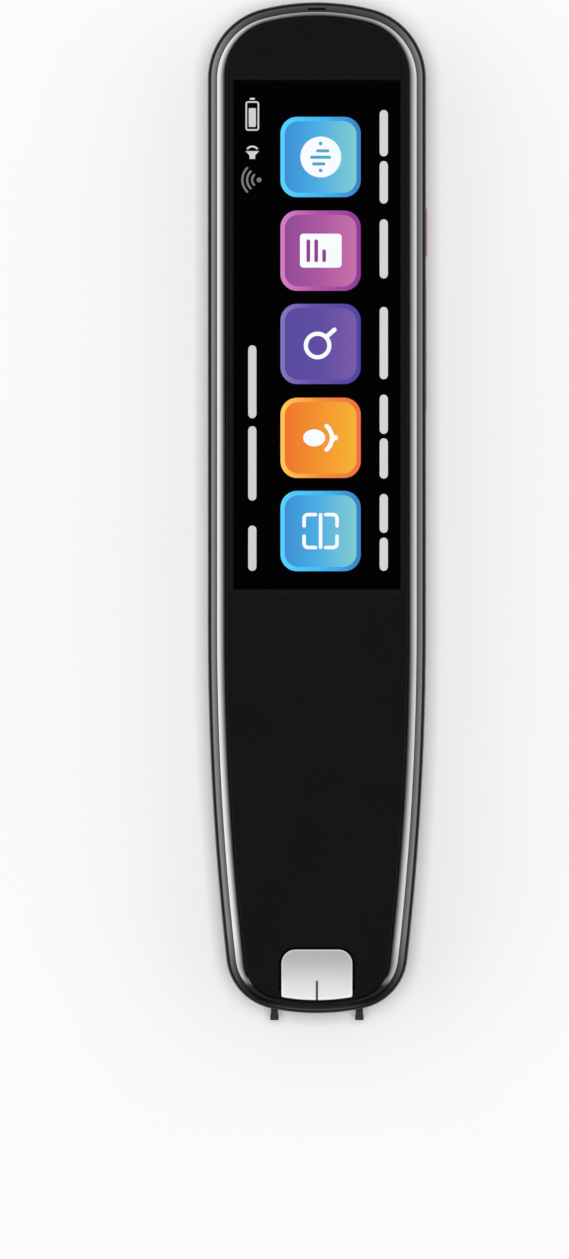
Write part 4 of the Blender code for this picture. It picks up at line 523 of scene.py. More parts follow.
FOOT_SLOT_HALF_WIDTH, FOOT_SLOT_HALF_HEIGHT, FOOT_Z, FOOT_SLOT_DEPTH = 0.9, 1.3, 4.0, 3.9
MIC_HOLE_RADIUS, MIC_HOLE_DEPTH = 0.45, 4.8
LIP_SLOT_HALF_LENGTH, LIP_SLOT_HALF_WIDTH, LIP_SLOT_Y, LIP_SLOT_DEPTH = 1.25, 0.17, 70.24, 0.6
SLOT_CORNER = 0.1


def posts():
    bm = bmesh.new()
    for place in SCREW_PLACES:
        prism(bm, circle(place, POST_RADIUS, 32), BACK_WALL - POST_SINK, POST_TOP_Z)
    return bm


def screw_bore(bm, place):
    levels = ((RECESS_RADIUS, -OVERRUN), (RECESS_RADIUS, RECESS_TOP_Z), (BORE_RADIUS, RECESS_TOP_Z))
    levels += ((BORE_RADIUS, POST_TOP_Z + OVERRUN),)
    skin(bm, [[(x, y, z) for x, y in circle(place, radius, 32)] for radius, z in levels], False)


def openings():
    bm = bmesh.new()
    for place in SCREW_PLACES:
        screw_bore(bm, place)
    for centre_y, length in KEYS:
        half = KEY_HALF_HEIGHT + KEY_GAP
        outline = rounded_box(length / 2 + KEY_GAP, half, half, (centre_y, KEY_Z))
        prism(bm, outline, HALF_WIDTH - SIDE_WALL - OVERRUN, HALF_WIDTH + OVERRUN, "X")
    port = rounded_box(PORT_HALF_WIDTH, PORT_HALF_HEIGHT, PORT_HALF_HEIGHT, (0.0, SOCKET_Z), 12)
    prism(bm, port, TOP_Y - PORT_DEPTH, TOP_Y + OVERRUN, "Y")
    for index in range(-2, 3):
        place = (0.0, SPEAKER_Y + index * SOUND_PITCH)
        slot = rounded_box(SOUND_HALF_LENGTH, SOUND_HALF_WIDTH, SOUND_HALF_WIDTH, place)
        prism(bm, slot, -OVERRUN, BACK_WALL + OVERRUN)
    mouth = rounded_box(MOUTH_HALF_WIDTH, MOUTH_HALF_HEIGHT, MOUTH_RADIUS, (0.0, MOUTH_Z))
    prism(bm, mouth, TIP_Y - OVERRUN, TIP_Y + MOUTH_DEPTH, "Y")
    for side in (1, -1):
        place = (side * FOOT_X, FOOT_Z)
        slot = rounded_box(FOOT_SLOT_HALF_WIDTH, FOOT_SLOT_HALF_HEIGHT, SLOT_CORNER, place, 2)
        prism(bm, slot, TIP_Y - OVERRUN, TIP_Y + FOOT_SLOT_DEPTH, "Y")
        hole = circle((side * MIC_X, SOCKET_Z), MIC_HOLE_RADIUS, 20)
        prism(bm, hole, TOP_Y - MIC_HOLE_DEPTH, TOP_Y + OVERRUN, "Y")
    slot = rounded_box(LIP_SLOT_HALF_LENGTH, LIP_SLOT_HALF_WIDTH, SLOT_CORNER, (0.0, LIP_SLOT_Y), 2)
    prism(bm, slot, LIP_TOP_Z - LIP_SLOT_DEPTH, LIP_TOP_Z + OVERRUN)
    return bm


shell = loft("shell_case", shell_rings(), CASE_LACQUER)
reshape(shell, posts(), "UNION")
reshape(shell, openings(), "DIFFERENCE")
stands_for(shell, "case", "shell_black", "rear_shell")

# %% [markdown]
# ## The bright ring
# A plated ring lies between the band and the glass. Its crown leans outwards and flattens towards the
# glass, so it shows bright light on its outer half and fades to dark on its inner half. The lean is what
# shapes that fade, so the profile is worked out from the lean: the slope is added up from the inner edge
# outwards. Towards the tip the plating is painted dimmer and then black, as painted shade where little
# light reaches it. Low down, where the ring faces the edge of the glass, it is painted black all round, as
# painted shade in the groove.
# %% The plating
RING_DIM_SHADE_START_Y, RING_BLACK_SHADE_START_Y, RING_BLACK_SHADE_FULL_Y = -60.0, -65.8, -67.5
RING_WALL_SHADE_FULL_Z, RING_WALL_SHADE_START_Z = 11.6, 11.95


def plating():
    finish = Finish("ring_plating", {})
    y = finish.along("Y")
    haze = finish.noise(3.5, 4.0)
    # Painted shade: low down, on its walls, the ring is painted black all round, as shade in the grooves
    # beside it.
    deep = finish.rise(finish.along("Z"), RING_WALL_SHADE_START_Z, RING_WALL_SHADE_FULL_Z)
    dark = finish.larger(deep, finish.rise(y, RING_BLACK_SHADE_START_Y, RING_BLACK_SHADE_FULL_Y))
    # Painted shade: towards the tip the plating is painted dimmer, then black, where little light reaches it.
    tip_shade = finish.rise(y, RING_DIM_SHADE_START_Y, RING_BLACK_SHADE_START_Y)
    bright = finish.blend(tip_shade, (0.9, 0.9, 0.91), (0.6, 0.6, 0.61))
    finish.wire("Base Color", finish.blend(dark, bright, (0.006, 0.006, 0.006)))
    finish.wire("Metallic", 1 - dark)
    finish.wire("Roughness", 0.09 + haze * 0.08 + dark * 0.4)
    finish.bump(finish.noise(0.35, 2.0, (1.0, 0.2, 1.0)), 0.0008)
    return finish


PLATING = plating()
print("plating ready")

# %% The ring's crown from its lean
RING_OUTER, RING_INNER = (1.36, 1.5, 1.3), (2.46, 2.08, 1.6)
RING_LOW_Z, LEDGE_TOP_Z, RING_TOP_Z = 10.6, 11.1, 12.4
LEDGE_INSET, CROWN_STEPS, CROWN_LEAN, CROWN_FALL = 2.9, 16, 42.0, 1.2


def crown():
    """Shares across the ring from its outer edge, and how far each lies below the top on a ring 1 mm wide."""
    points, drop = [(1.0, 0.0)], 0.0
    for step in range(CROWN_STEPS):
        share = 1 - (step + 0.5) / CROWN_STEPS
        lean = math.radians(CROWN_LEAN * (1 - share) ** CROWN_FALL)
        drop += math.tan(lean) / CROWN_STEPS
        points.append((1 - (step + 1) / CROWN_STEPS, drop))
    return points[::-1]


def ring_rings():
    """The crown keeps its lean all round, so it stands lower over a narrower part of the ring."""
    outer, inner = pen_outline(RING_OUTER), pen_outline(RING_INNER)
    widths = [math.dist(a, b) for a, b in zip(outer, inner)]
    rings = [ring_at(RING_OUTER, RING_LOW_Z)]
    for share, drop in crown():
        rings.append(
            [
                (a[0] + (b[0] - a[0]) * share, a[1] + (b[1] - a[1]) * share, RING_TOP_Z - drop * w)
                for a, b, w in zip(outer, inner, widths)
            ]
        )
    rings.append(ring_at(RING_INNER, LEDGE_TOP_Z))
    rings.append(ring_at(even(LEDGE_INSET), LEDGE_TOP_Z))
    rings.append(ring_at(even(LEDGE_INSET), RING_LOW_Z))
    return rings


ring = loft("bright_ring", ring_rings(), PLATING, closed=True)
stands_for(ring, "case", "bezel_bright", "bezel_frame")
print("the crown drops", round(crown()[0][1], 2), "mm to its outer edge")

# %% [markdown]
# ## The front glass
# One plate of glass covers the whole front. It is printed black behind, apart from a clear window over the
# display. A single plate whose Alpha falls inside the window says just that, and the border of the window
# stays sharp because it is worked out from the window's sides. Clear glass mirrors more at a slant, so its
# share of mirror rises with the fifth power of Layer Weight's Facing. The notch leaves room for the sight
# block, with a thin dark gap.
# %% Black print with a clear window
DISPLAY_HALF_WIDTH, DISPLAY_LOW_Y, DISPLAY_TOP_Y = 11.85, -11.6, 60.3
EDGE_BLUR, CLEAR_EDGE, FRAME_OUTER, FRAME_INNER = 0.04, 0.12, -0.75, -0.1
GLASS_MIRROR, SHEET_ALPHA = 0.03, 0.03
LENS_BLACK, FRAME_BLACK = shade(22, 22, 23), shade(25, 25, 26)


def printed_glass():
    finish = Finish("printed_glass", {})
    smear = finish.noise(9.0, 3.0)
    middle_y = (DISPLAY_TOP_Y + DISPLAY_LOW_Y) / 2
    across = DISPLAY_HALF_WIDTH - finish.absolute(finish.along("X"))
    upward = (DISPLAY_TOP_Y - DISPLAY_LOW_Y) / 2 - finish.absolute(finish.along("Y") - middle_y)

    def inside(low, high):
        return finish.rise(across, low, high) * finish.rise(upward, low, high)

    window, clear = inside(-EDGE_BLUR, EDGE_BLUR), inside(EDGE_BLUR, CLEAR_EDGE)
    frame_line = inside(FRAME_OUTER, FRAME_INNER)
    border = finish.blend(smear, times(LENS_BLACK, 0.9), times(LENS_BLACK, 1.05))
    print_tone = finish.blend(frame_line, border, FRAME_BLACK)
    finish.wire("Base Color", finish.blend(clear, print_tone, (0.96, 0.96, 0.96)))
    finish.wire("Metallic", clear)
    facing = finish.node("LayerWeight", None, {"Blend": 0.5}, "Facing")
    mirror = GLASS_MIRROR + finish.power(facing, 5.0) * (1 - GLASS_MIRROR)
    finish.wire("Alpha", 1 - window * (1 - mirror))
    finish.wire("Roughness", 0.04 + smear * 0.03)
    return finish


PRINTED_GLASS = printed_glass()
print("window of", 2 * DISPLAY_HALF_WIDTH, "by", round(DISPLAY_TOP_Y - DISPLAY_LOW_Y, 1), "mm")

# %% The plate and its notch
LENS_INSETS = (2.66, 2.3, 1.75)
LENS_LOW_Z, LENS_TOP_Z, LENS_EDGE, LENS_EDGE_STEPS, FRONT_AREA = 11.5, 12.3, 0.07, 4, 500.0
WINDOW_HALF_WIDTH, WINDOW_TOP_Y, WINDOW_RADIUS, WINDOW_GAP, WINDOW_STEPS = 5.0, -62.2, 2.0, 0.38, 12


def lens_foot(x):
    """How far down the glass reaches at a place across, along its own outline."""
    points = pen_outline(LENS_INSETS)
    half = sorted(point for point in points if point[1] < TAPER_START_Y and point[0] >= 0)
    for near, far in zip(half, half[1:]):
        if abs(x) <= far[0]:
            return near[1] + (far[1] - near[1]) * (abs(x) - near[0]) / (far[0] - near[0])
    return half[-1][1]


def window_outline(growth, drop):
    """The sight block's outline: round corners towards the display, and a foot along the glass's edge."""
    half, radius, top = WINDOW_HALF_WIDTH + growth, WINDOW_RADIUS + growth, WINDOW_TOP_Y + growth
    points = arc((half - radius, top - radius), radius, 0.0, math.pi / 2, WINDOW_STEPS, closed=True)
    points += arc((radius - half, top - radius), radius, math.pi / 2, math.pi, WINDOW_STEPS, closed=True)
    for step in range(2 * WINDOW_STEPS + 1):
        x = half * (step / WINDOW_STEPS - 1)
        points.append((x, lens_foot(x) - drop))
    return points


def lens_rings():
    rings = [ring_at(LENS_INSETS, LENS_LOW_Z)]
    for step in range(LENS_EDGE_STEPS + 1):
        turn = math.pi / 2 * step / LENS_EDGE_STEPS
        insets = tuple(inset + LENS_EDGE * (1 - math.cos(turn)) for inset in LENS_INSETS)
        rings.append(ring_at(insets, LENS_TOP_Z - LENS_EDGE * (1 - math.sin(turn))))
    return rings


glass = loft("front_glass", lens_rings(), PRINTED_GLASS)
notch = bmesh.new()
prism(notch, window_outline(WINDOW_GAP, OVERRUN), LENS_LOW_Z - OVERRUN, LENS_TOP_Z + OVERRUN)
reshape(glass, notch, "DIFFERENCE")
level_faces(glass, FRONT_AREA)
stands_for(glass, "case", "lens_black", "front_lens")

# %% [markdown]
# ## The sight block
# The frosted silver block at the tip shows where the line of text passes under the scanner. It is a clear
# moulding with silver paint behind, and its silver is painted brighter towards its foot, as painted light.
# A painted highlight, faint light emitted along the curve of the foot and low on its sides, and a pale band
# round its top edge, make its rim look lit. The walls below are painted black, as painted shade, so the gap
# round the block stays dark. The centre mark is a real groove, filled with grey.
# %% Sizes of the sight block, in millimetres
BLOCK_LOW_Z, BLOCK_TOP_Z, BLOCK_ROUND, FOOT_RAISE = 11.3, 12.35, 0.24, 0.22
FLANGE_HALF_WIDTH, FLANGE_HALF_LENGTH, FLANGE_Y, FLANGE_CORNER = 6.2, 3.1, -64.3, 0.2
FLANGE_LOW_Z, FLANGE_TOP_Z = 10.4, 11.4
MARK_HALF_WIDTH, MARK_TOP_Y, MARK_DEPTH, MARK_BLUR = 0.17, -66.6, 0.12, 0.02
FOOT_LINE_Y = lens_foot(0.0) + FOOT_RAISE
FOOT_LINE_BEND = (lens_foot(WINDOW_HALF_WIDTH) - lens_foot(0.0)) / WINDOW_HALF_WIDTH**2
print("the block's foot is at y", round(FOOT_LINE_Y, 2), "and bends by", round(FOOT_LINE_BEND, 4), "a mm")

# %% Frosted silver
WALL_SHADE_FULL_Z, WALL_SHADE_START_Z, EDGE_HIGHLIGHT_FULL_Z, EDGE_HIGHLIGHT_START_Z = 12.0, 12.1, 12.3, 12.345
HIGHLIGHT_LOW_Z, HIGHLIGHT_FULL_Z, HIGHLIGHT_LEVEL = 11.9, 12.1, 0.13
FOOT_HIGHLIGHT_END, FOOT_HIGHLIGHT_FULL = 0.42, 0.3
SIDE_HIGHLIGHT_START, SIDE_HIGHLIGHT_FULL, SIDE_HIGHLIGHT_TOP, SIDE_HIGHLIGHT_LOW = -0.34, -0.2, 3.2, 0.8
SILVER_LIGHT_Y, SILVER_PAINTED_LIGHT, SILVER_TOP_TONE = -69.6, shade(248, 248, 249), shade(185, 185, 187)
MARK_GREY = shade(92, 92, 94)


def painted_rim_highlight(finish, x, y, z):
    """Painted highlight: 1 along the block's foot and low on its sides, near its top face, and 0 elsewhere.
    """
    above_foot = y - x * x * FOOT_LINE_BEND - FOOT_LINE_Y
    outward = finish.absolute(x) - WINDOW_HALF_WIDTH
    side = finish.rise(outward, SIDE_HIGHLIGHT_START, SIDE_HIGHLIGHT_FULL)
    side = side * finish.rise(above_foot, SIDE_HIGHLIGHT_TOP, SIDE_HIGHLIGHT_LOW)
    rim = finish.larger(finish.rise(above_foot, FOOT_HIGHLIGHT_END, FOOT_HIGHLIGHT_FULL), side)
    return rim * finish.rise(z, HIGHLIGHT_LOW_Z, HIGHLIGHT_FULL_Z)


def frosted_silver():
    finish = Finish("frosted_silver", {"Metallic": 0.15, "Emission Strength": 1.0})
    x, y, z = finish.xyz()
    grain = finish.noise(0.12, 2.0)
    # Painted light: the silver is painted brighter towards the foot.
    upward = finish.rise(y, SILVER_LIGHT_Y, WINDOW_TOP_Y)
    silver = finish.blend(upward, SILVER_PAINTED_LIGHT, SILVER_TOP_TONE)
    # Painted highlight: a pale band round the rounded top edge.
    silver = finish.blend(finish.rise(z, EDGE_HIGHLIGHT_START_Z, EDGE_HIGHLIGHT_FULL_Z), silver, (0.95, 0.95, 0.95))
    # Painted shade: the walls below are painted nearly black, so the gap round the block stays dark.
    silver = finish.blend(finish.rise(z, WALL_SHADE_START_Z, WALL_SHADE_FULL_Z), silver, (0.002, 0.002, 0.002))
    mark = finish.rise(MARK_HALF_WIDTH - finish.absolute(x), -MARK_BLUR, MARK_BLUR)
    mark = mark * finish.rise(MARK_TOP_Y - y, -MARK_BLUR, MARK_BLUR)
    finish.wire("Base Color", finish.blend(mark, silver, MARK_GREY))
    # Painted highlight: faint light emitted along the foot and low on the sides.
    painted_glow = painted_rim_highlight(finish, x, y, z) * (1 - mark) * HIGHLIGHT_LEVEL
    finish.wire("Emission Color", finish.blend(painted_glow, (0.0, 0.0, 0.0), (1.0, 1.0, 1.0)))
    finish.wire("Roughness", 0.34 + grain * 0.14)
    finish.bump(grain, 0.003)
    return finish


FROSTED_SILVER = frosted_silver()
print("silver ready, with a glow of", HIGHLIGHT_LEVEL)

# %% The block, its flange and its mark
block = plates("sight_block", [window_outline(0.0, -FOOT_RAISE)], BLOCK_LOW_Z, BLOCK_TOP_Z, FROSTED_SILVER)
round_edges(block, BLOCK_ROUND, 4)
flange = bmesh.new()
flange_outline = rounded_box(FLANGE_HALF_WIDTH, FLANGE_HALF_LENGTH, FLANGE_CORNER, (0.0, FLANGE_Y), 2)
prism(flange, flange_outline, FLANGE_LOW_Z, FLANGE_TOP_Z)
reshape(block, flange, "UNION")
groove = bmesh.new()
left, right, below = -MARK_HALF_WIDTH, MARK_HALF_WIDTH, TIP_Y - OVERRUN
groove_outline = ((left, below), (right, below), (right, MARK_TOP_Y), (left, MARK_TOP_Y))
prism(groove, groove_outline, BLOCK_TOP_Z - MARK_DEPTH, BLOCK_TOP_Z + OVERRUN)
reshape(block, groove, "DIFFERENCE")
stands_for(block, "case", "window_silver", "sight_window")

# %% [markdown]
# ## The picture on the display
# A display shows black where nothing is lit, so only the lit parts are made: thin plates that lie on the
# display's glass, each under 0.1 mm thick. The screen is read with the pen held sideways, so its own right
# is the pen's +Y and its own up is the pen's -X, and one rule turns the drawing. The light has to pass the
# touch sheet and the front glass, which dim it a little, so it starts that much stronger.
# %% Light from the display
LCD_TOP_Z, PICTURE_STEP = 10.7, 0.05
GLOW = 1 / ((1 - GLASS_MIRROR) * (1 - SHEET_ALPHA)) ** 2


def lit(name, stops, low, high):
    """Pixels lit in a run of colours down the screen, between two places along the pen's x."""
    plain = {"Base Color": (0.0005, 0.0005, 0.0005), "Roughness": 0.08, "Emission Strength": GLOW}
    finish = Finish(name, plain)
    share = (finish.along("X") - low) * (1 / (high - low))
    colours = [(place, shade(*colour)) for place, colour in stops]
    finish.wire("Emission Color", finish.node("ValToRGB", {"stops": colours}, {0: share}))
    return finish


def on_screen(points, centre):
    """Turns points of the drawing, right and up, into the pen's x and y about a centre."""
    return [(centre[0] - up, centre[1] + right) for right, up in points]


def ribbon(points, width, cap_steps=6):
    """The outline of a line through points, with width and round ends."""
    half = width / 2
    lines = [Vector(b) - Vector(a) for a, b in zip(points, points[1:])]
    bends = [a.normalized() + b.normalized() for a, b in zip(lines, lines[1:])]
    headings = [lines[0]] + bends + [lines[-1]]
    angles = [math.atan2(h.y, h.x) for h in headings]
    left = [(p[0] - half * math.sin(a), p[1] + half * math.cos(a)) for p, a in zip(points, angles)]
    right = [(p[0] + half * math.sin(a), p[1] - half * math.cos(a)) for p, a in zip(points, angles)]
    end = arc(points[-1], half, angles[-1] + math.pi / 2, angles[-1] - math.pi / 2, cap_steps)[1:]
    start = arc(points[0], half, angles[0] - math.pi / 2, angles[0] - 3 * math.pi / 2, cap_steps)[1:]
    return left + end + right[::-1] + start


print("the picture glows at", round(GLOW, 3))

# %% [markdown]
# Five square tiles open the pen's five tools. Each has a face that runs from deep to pale down the screen,
# in a rim that runs the other way, which makes it look raised. The rim and the face are two plates, a step
# apart.
# %% Tiles
TILE_X, TILE_HALF, TILE_RADIUS, RIM_WIDTH = 0.52, 5.65, 2.35, 0.6
TILE_LOW, TILE_HIGH, RIM_TOP_Z = TILE_X - TILE_HALF, TILE_X + TILE_HALF, LCD_TOP_Z + PICTURE_STEP
FACE_HALF, FACE_RADIUS = TILE_HALF - RIM_WIDTH, TILE_RADIUS - RIM_WIDTH * 0.7
BLUE = {
    "face": ((0.0, (58, 138, 208)), (0.45, (74, 172, 228)), (1.0, (132, 207, 206))),
    "rim": ((0.0, (86, 212, 255)), (0.5, (68, 184, 244)), (1.0, (56, 128, 200))),
}
ORANGE = {
    "face": ((0.0, (238, 112, 47)), (0.5, (243, 148, 46)), (1.0, (246, 182, 54))),
    "rim": ((0.0, (255, 200, 88)), (0.5, (244, 142, 56)), (1.0, (240, 112, 66))),
}
VIOLET = {
    "face": ((0.0, (86, 74, 158)), (0.5, (96, 78, 162)), (1.0, (124, 93, 168))),
    "rim": ((0.0, (137, 116, 190)), (0.4, (102, 84, 170)), (1.0, (80, 66, 160))),
}
MAGENTA = {
    "face": ((0.0, (142, 72, 150)), (0.5, (172, 88, 160)), (1.0, (200, 116, 172))),
    "rim": ((0.0, (216, 128, 196)), (0.45, (176, 86, 168)), (1.0, (140, 58, 150))),
}
TILES = {
    "scan": (-3.28, BLUE),
    "voice": (9.85, ORANGE),
    "search": (23.08, VIOLET),
    "excerpt": (36.22, MAGENTA),
    "record": (49.42, BLUE),
}


def on_display(piece):
    return stands_for(piece, "case", "lcd_glass")


for tile, (tile_y, colours) in TILES.items():
    paints = {part: lit(f"{tile}_{part}", stops, TILE_LOW, TILE_HIGH) for part, stops in colours.items()}
    rim = rounded_box(TILE_HALF, TILE_HALF, TILE_RADIUS, (TILE_X, tile_y), 12)
    face = rounded_box(FACE_HALF, FACE_HALF, FACE_RADIUS, (TILE_X, tile_y), 12)
    on_display(plates(f"tile_{tile}_rim", [rim], LCD_TOP_Z, RIM_TOP_Z, paints["rim"]))
    on_display(plates(f"tile_{tile}_face", [face], RIM_TOP_Z, RIM_TOP_Z + PICTURE_STEP / 2, paints["face"]))

# %% [markdown]
# Each tile carries a white pictogram: a viewfinder with a line, a microphone, a magnifier, a page and a
# disc with sound bars. They are drawn in millimetres about the tile's centre. A ring is two loops with a
# skin between them, because a flat outline can't hold a hole.
# %% Pictograms
GLYPH_Z = LCD_TOP_Z + PICTURE_STEP * 1.5
GLYPH_TOP_Z = GLYPH_Z + PICTURE_STEP / 2
STROKE, BROAD_STROKE = 0.5, 0.62
WHITE = lit("lit_white", ((0.0, (250, 252, 255)), (1.0, (244, 250, 252))), TILE_LOW, TILE_HIGH)


def glyph(tile, outlines, finish=WHITE, low=GLYPH_Z, part="glyph"):
    centre = (TILE_X, TILES[tile][0])
    turned = [on_screen(outline, centre) for outline in outlines]
    return on_display(plates(f"{tile}_{part}", turned, low, low + PICTURE_STEP / 2, finish))


def bracket(side, up):
    """One corner of the viewfinder: two short arms and the bend between them."""
    reach, bend, arm = 2.32, 0.55, 1.6
    corner = arc((reach - bend, reach - bend), bend, math.pi / 2, 0.0, 5, closed=True)
    line = [(reach - arm, reach)] + corner + [(reach, reach - arm)]
    return ribbon([(side * x, up * y) for x, y in line], STROKE)


def hoop(name, loops, centre, low, high, finish):
    """A flat ring between an outer and an inner loop."""
    bm = bmesh.new()
    outer, inner = [on_screen(loop, centre) for loop in loops]
    levels = ((outer, low), (outer, high), (inner, high), (inner, low))
    skin(bm, [[(x, y, z) for x, y in loop] for loop, z in levels], True)
    return on_display(add_piece(name, bm, finish))


brackets = [bracket(side, up) for side in (1, -1) for up in (1, -1)]
glyph("scan", brackets + [ribbon([(-2.3, 0.0), (2.3, 0.0)], STROKE)])

# %% Microphone and magnifier
CRADLE_START, CRADLE_END = math.radians(221), math.radians(319)
cradle = arc((0.0, 0.6), 2.2, CRADLE_START, CRADLE_END, 14, closed=True)
round_turns = [math.tau * n / 36 for n in range(36)]
capsule = [(1.2 * math.cos(a), 0.9 + 1.56 * math.sin(a)) for a in round_turns]
stand = ((-0.62, -1.62), (0.62, -1.62), (0.36, -2.05), (0.3, -2.42), (-0.3, -2.42), (-0.36, -2.05))
glyph("voice", [capsule])
glyph("voice", [ribbon(cradle, BROAD_STROKE)], part="glyph_cradle")
glyph("voice", [stand], part="glyph_foot")

glyph("search", [ribbon([(1.15, -0.98), (2.0, -1.95)], BROAD_STROKE)], part="glyph_handle")
hoop_loops = [circle((-0.22, 0.42), radius, 48) for radius in (1.95, 1.36)]
hoop("search_glyph_lens", hoop_loops, (TILE_X, TILES["search"][0]), GLYPH_Z, GLYPH_TOP_Z, WHITE)

# %% Page and sound bars
INK_Z = GLYPH_TOP_Z
PLUM = lit("ink_plum", ((0.0, (148, 62, 140)), (1.0, (150, 66, 146))), TILE_LOW, TILE_HIGH)
INK_BLUE = lit("ink_blue", ((0.0, (52, 140, 204)), (1.0, (96, 188, 204))), TILE_LOW, TILE_HIGH)
text_lines = [((-1.37, 1.73), (1.33, 1.73)), ((-1.37, 0.62), (1.33, 0.62)), ((-1.37, -0.5), (-0.08, -0.5))]
glyph("excerpt", [rounded_box(2.39, 2.94, 0.5, (0.0, -0.03))])
glyph("excerpt", [ribbon(line, 0.52) for line in text_lines], PLUM, INK_Z, "ink")

bars = [((-0.98, -0.46), (-0.98, 0.98)), ((-0.04, -1.26), (-0.04, 1.26)), ((0.86, -1.02), (0.86, 0.42))]
dots = [circle((side * 1.9, 0.0), 0.27, 14) for side in (1, -1)]
glyph("record", [circle((0.0, -0.03), 2.88, 56)])
glyph("record", [ribbon(bar, 0.44) for bar in bars] + dots, INK_BLUE, INK_Z, "ink")

# %% [markdown]
# Words, a clock and a date don't belong on a shared part, so their places hold plain bars of the same
# lengths, as on a designer's first sketch of a screen. The status row keeps its signal arcs, a small sound
# mark and a battery.
# %% Bars where words would be, and the status marks
LABEL_X, STATUS_X, BAR_WIDTH, BATTERY_Y = 9.42, -9.1, 1.16, 55.2
LABELS = {
    "scan": ((-8.9, -4.2), (-3.55, 1.95)),
    "voice": ((4.1, 9.8), (10.4, 15.95)),
    "search": ((18.1, 28.3),),
    "excerpt": ((32.3, 40.65),),
    "record": ((42.85, 48.85), (49.5, 56.05)),
}
STATUS = {"clock": ((-8.9, -2.5),), "date": ((1.0, 11.5), (12.6, 22.9))}
PALE = lit("lit_pale", ((0.0, (206, 208, 210)), (1.0, (212, 214, 216))), -12.0, 12.0)
DIM = lit("lit_dim", ((0.0, (120, 122, 124)), (1.0, (128, 130, 132))), -12.0, 12.0)


def bar_row(name, row_x, spans):
    half = BAR_WIDTH / 2
    rows = [ribbon([(row_x, low + half), (row_x, high - half)], BAR_WIDTH) for low, high in spans]
    return on_display(plates(name, rows, LCD_TOP_Z, LCD_TOP_Z + PICTURE_STEP, PALE))


for label, spans in LABELS.items():
    bar_row(f"label_{label}", LABEL_X, spans)
for label, spans in STATUS.items():
    bar_row(f"status_{label}", STATUS_X, spans)


def status_mark(name, outlines, centre_y, finish):
    turned = [on_screen(outline, (STATUS_X, centre_y)) for outline in outlines]
    return on_display(plates(name, turned, LCD_TOP_Z, LCD_TOP_Z + PICTURE_STEP, finish))


SIGNAL_FOOT, SIGNAL_SPREAD, MARK_STROKE = (0.0, -0.95), math.radians(45), 0.3


def fan(radius):
    quarter = math.pi / 2
    bow = arc(SIGNAL_FOOT, radius, quarter - SIGNAL_SPREAD, quarter + SIGNAL_SPREAD, 12, closed=True)
    return ribbon(bow, MARK_STROKE)


arcs = [fan(radius) for radius in (0.98, 1.68, 2.36)]
status_mark("status_signal", arcs + [circle(SIGNAL_FOOT, 0.34, 20)], 46.2, DIM)
horn = ((-0.95, 0.4), (-0.45, 0.4), (0.15, 0.95), (0.15, -0.95), (-0.45, -0.4), (-0.95, -0.4))
sound = ribbon(arc((-0.1, 0.0), 0.9, math.radians(-48), math.radians(48), 10, closed=True), 0.26)
status_mark("status_sound", [horn, sound], 50.1, PALE)
level = rounded_box(1.32, 0.5, 0.12, (-0.22, 0.0), 4)
pole = rounded_box(0.14, 0.36, 0.1, (2.42, 0.0), 4)
status_mark("status_battery_level", [level, pole], BATTERY_Y, PALE)
cell_loops = [rounded_box(2.08 - g, 0.96 - g, 0.36 - g, (0.0, 0.0), 4) for g in (0.0, 0.22)]
hoop("status_battery", cell_loops, (STATUS_X, BATTERY_Y), LCD_TOP_Z, GLYPH_Z, PALE)

# %% [markdown]
# ## The springs of the nib
# Pressing the tip on paper slides the fork in by a millimetre and shortens two small coil springs. A rigid
# solid can't shorten, so each spring is a new piece, given a mesh of its own.
# It is a wire swept along a helix of seven turns, which share out the room between the fork's leg and its
# stop.
# %% Drawn wire
def drawn_steel():
    finish = Finish("drawn_steel", {"Metallic": 1.0})
    streaks = finish.noise(0.12, 2.0)
    finish.wire("Base Color", finish.blend(streaks, (0.52, 0.52, 0.54), (0.66, 0.66, 0.67)))
    finish.wire("Roughness", 0.2 + streaks * 0.14)
    return finish


DRAWN_STEEL = drawn_steel()
SPRING_LOW_Y, SPRING_HIGH_Y, SPRING_Z = -56.3, -50.8, 4.0
COIL_RADIUS, WIRE_RADIUS, COIL_TURNS, COIL_POINTS, WIRE_POINTS = 0.75, 0.15, 7, 24, 10


def coil_spring(name, centre_x):
    steps = COIL_TURNS * COIL_POINTS
    path = []
    for step in range(steps + 1):
        angle = math.tau * step / COIL_POINTS
        x, z = centre_x + COIL_RADIUS * math.cos(angle), SPRING_Z + COIL_RADIUS * math.sin(angle)
        y = SPRING_LOW_Y + WIRE_RADIUS + (SPRING_HIGH_Y - SPRING_LOW_Y - 2 * WIRE_RADIUS) * step / steps
        path.append(Vector((x, y, z)))
    turns = [math.tau * n / WIRE_POINTS for n in range(WIRE_POINTS)]
    rings = []
    for index, point in enumerate(path):
        outward = Vector((point.x - centre_x, 0.0, point.z - SPRING_Z)).normalized()
        run = (path[min(index + 1, steps)] - path[max(index - 1, 0)]).normalized()
        upward = run.cross(outward)
        rings.append([point + (outward * math.cos(a) + upward * math.sin(a)) * WIRE_RADIUS for a in turns])
    return loft(name, rings, DRAWN_STEEL)


for side, spring_x in (("right", FOOT_X), ("left", -FOOT_X)):
    spring = coil_spring(f"return_spring_{side}", spring_x)
    stands_for(spring, "case", "spring_steel", f"nib_spring_{side}")
    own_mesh(spring)

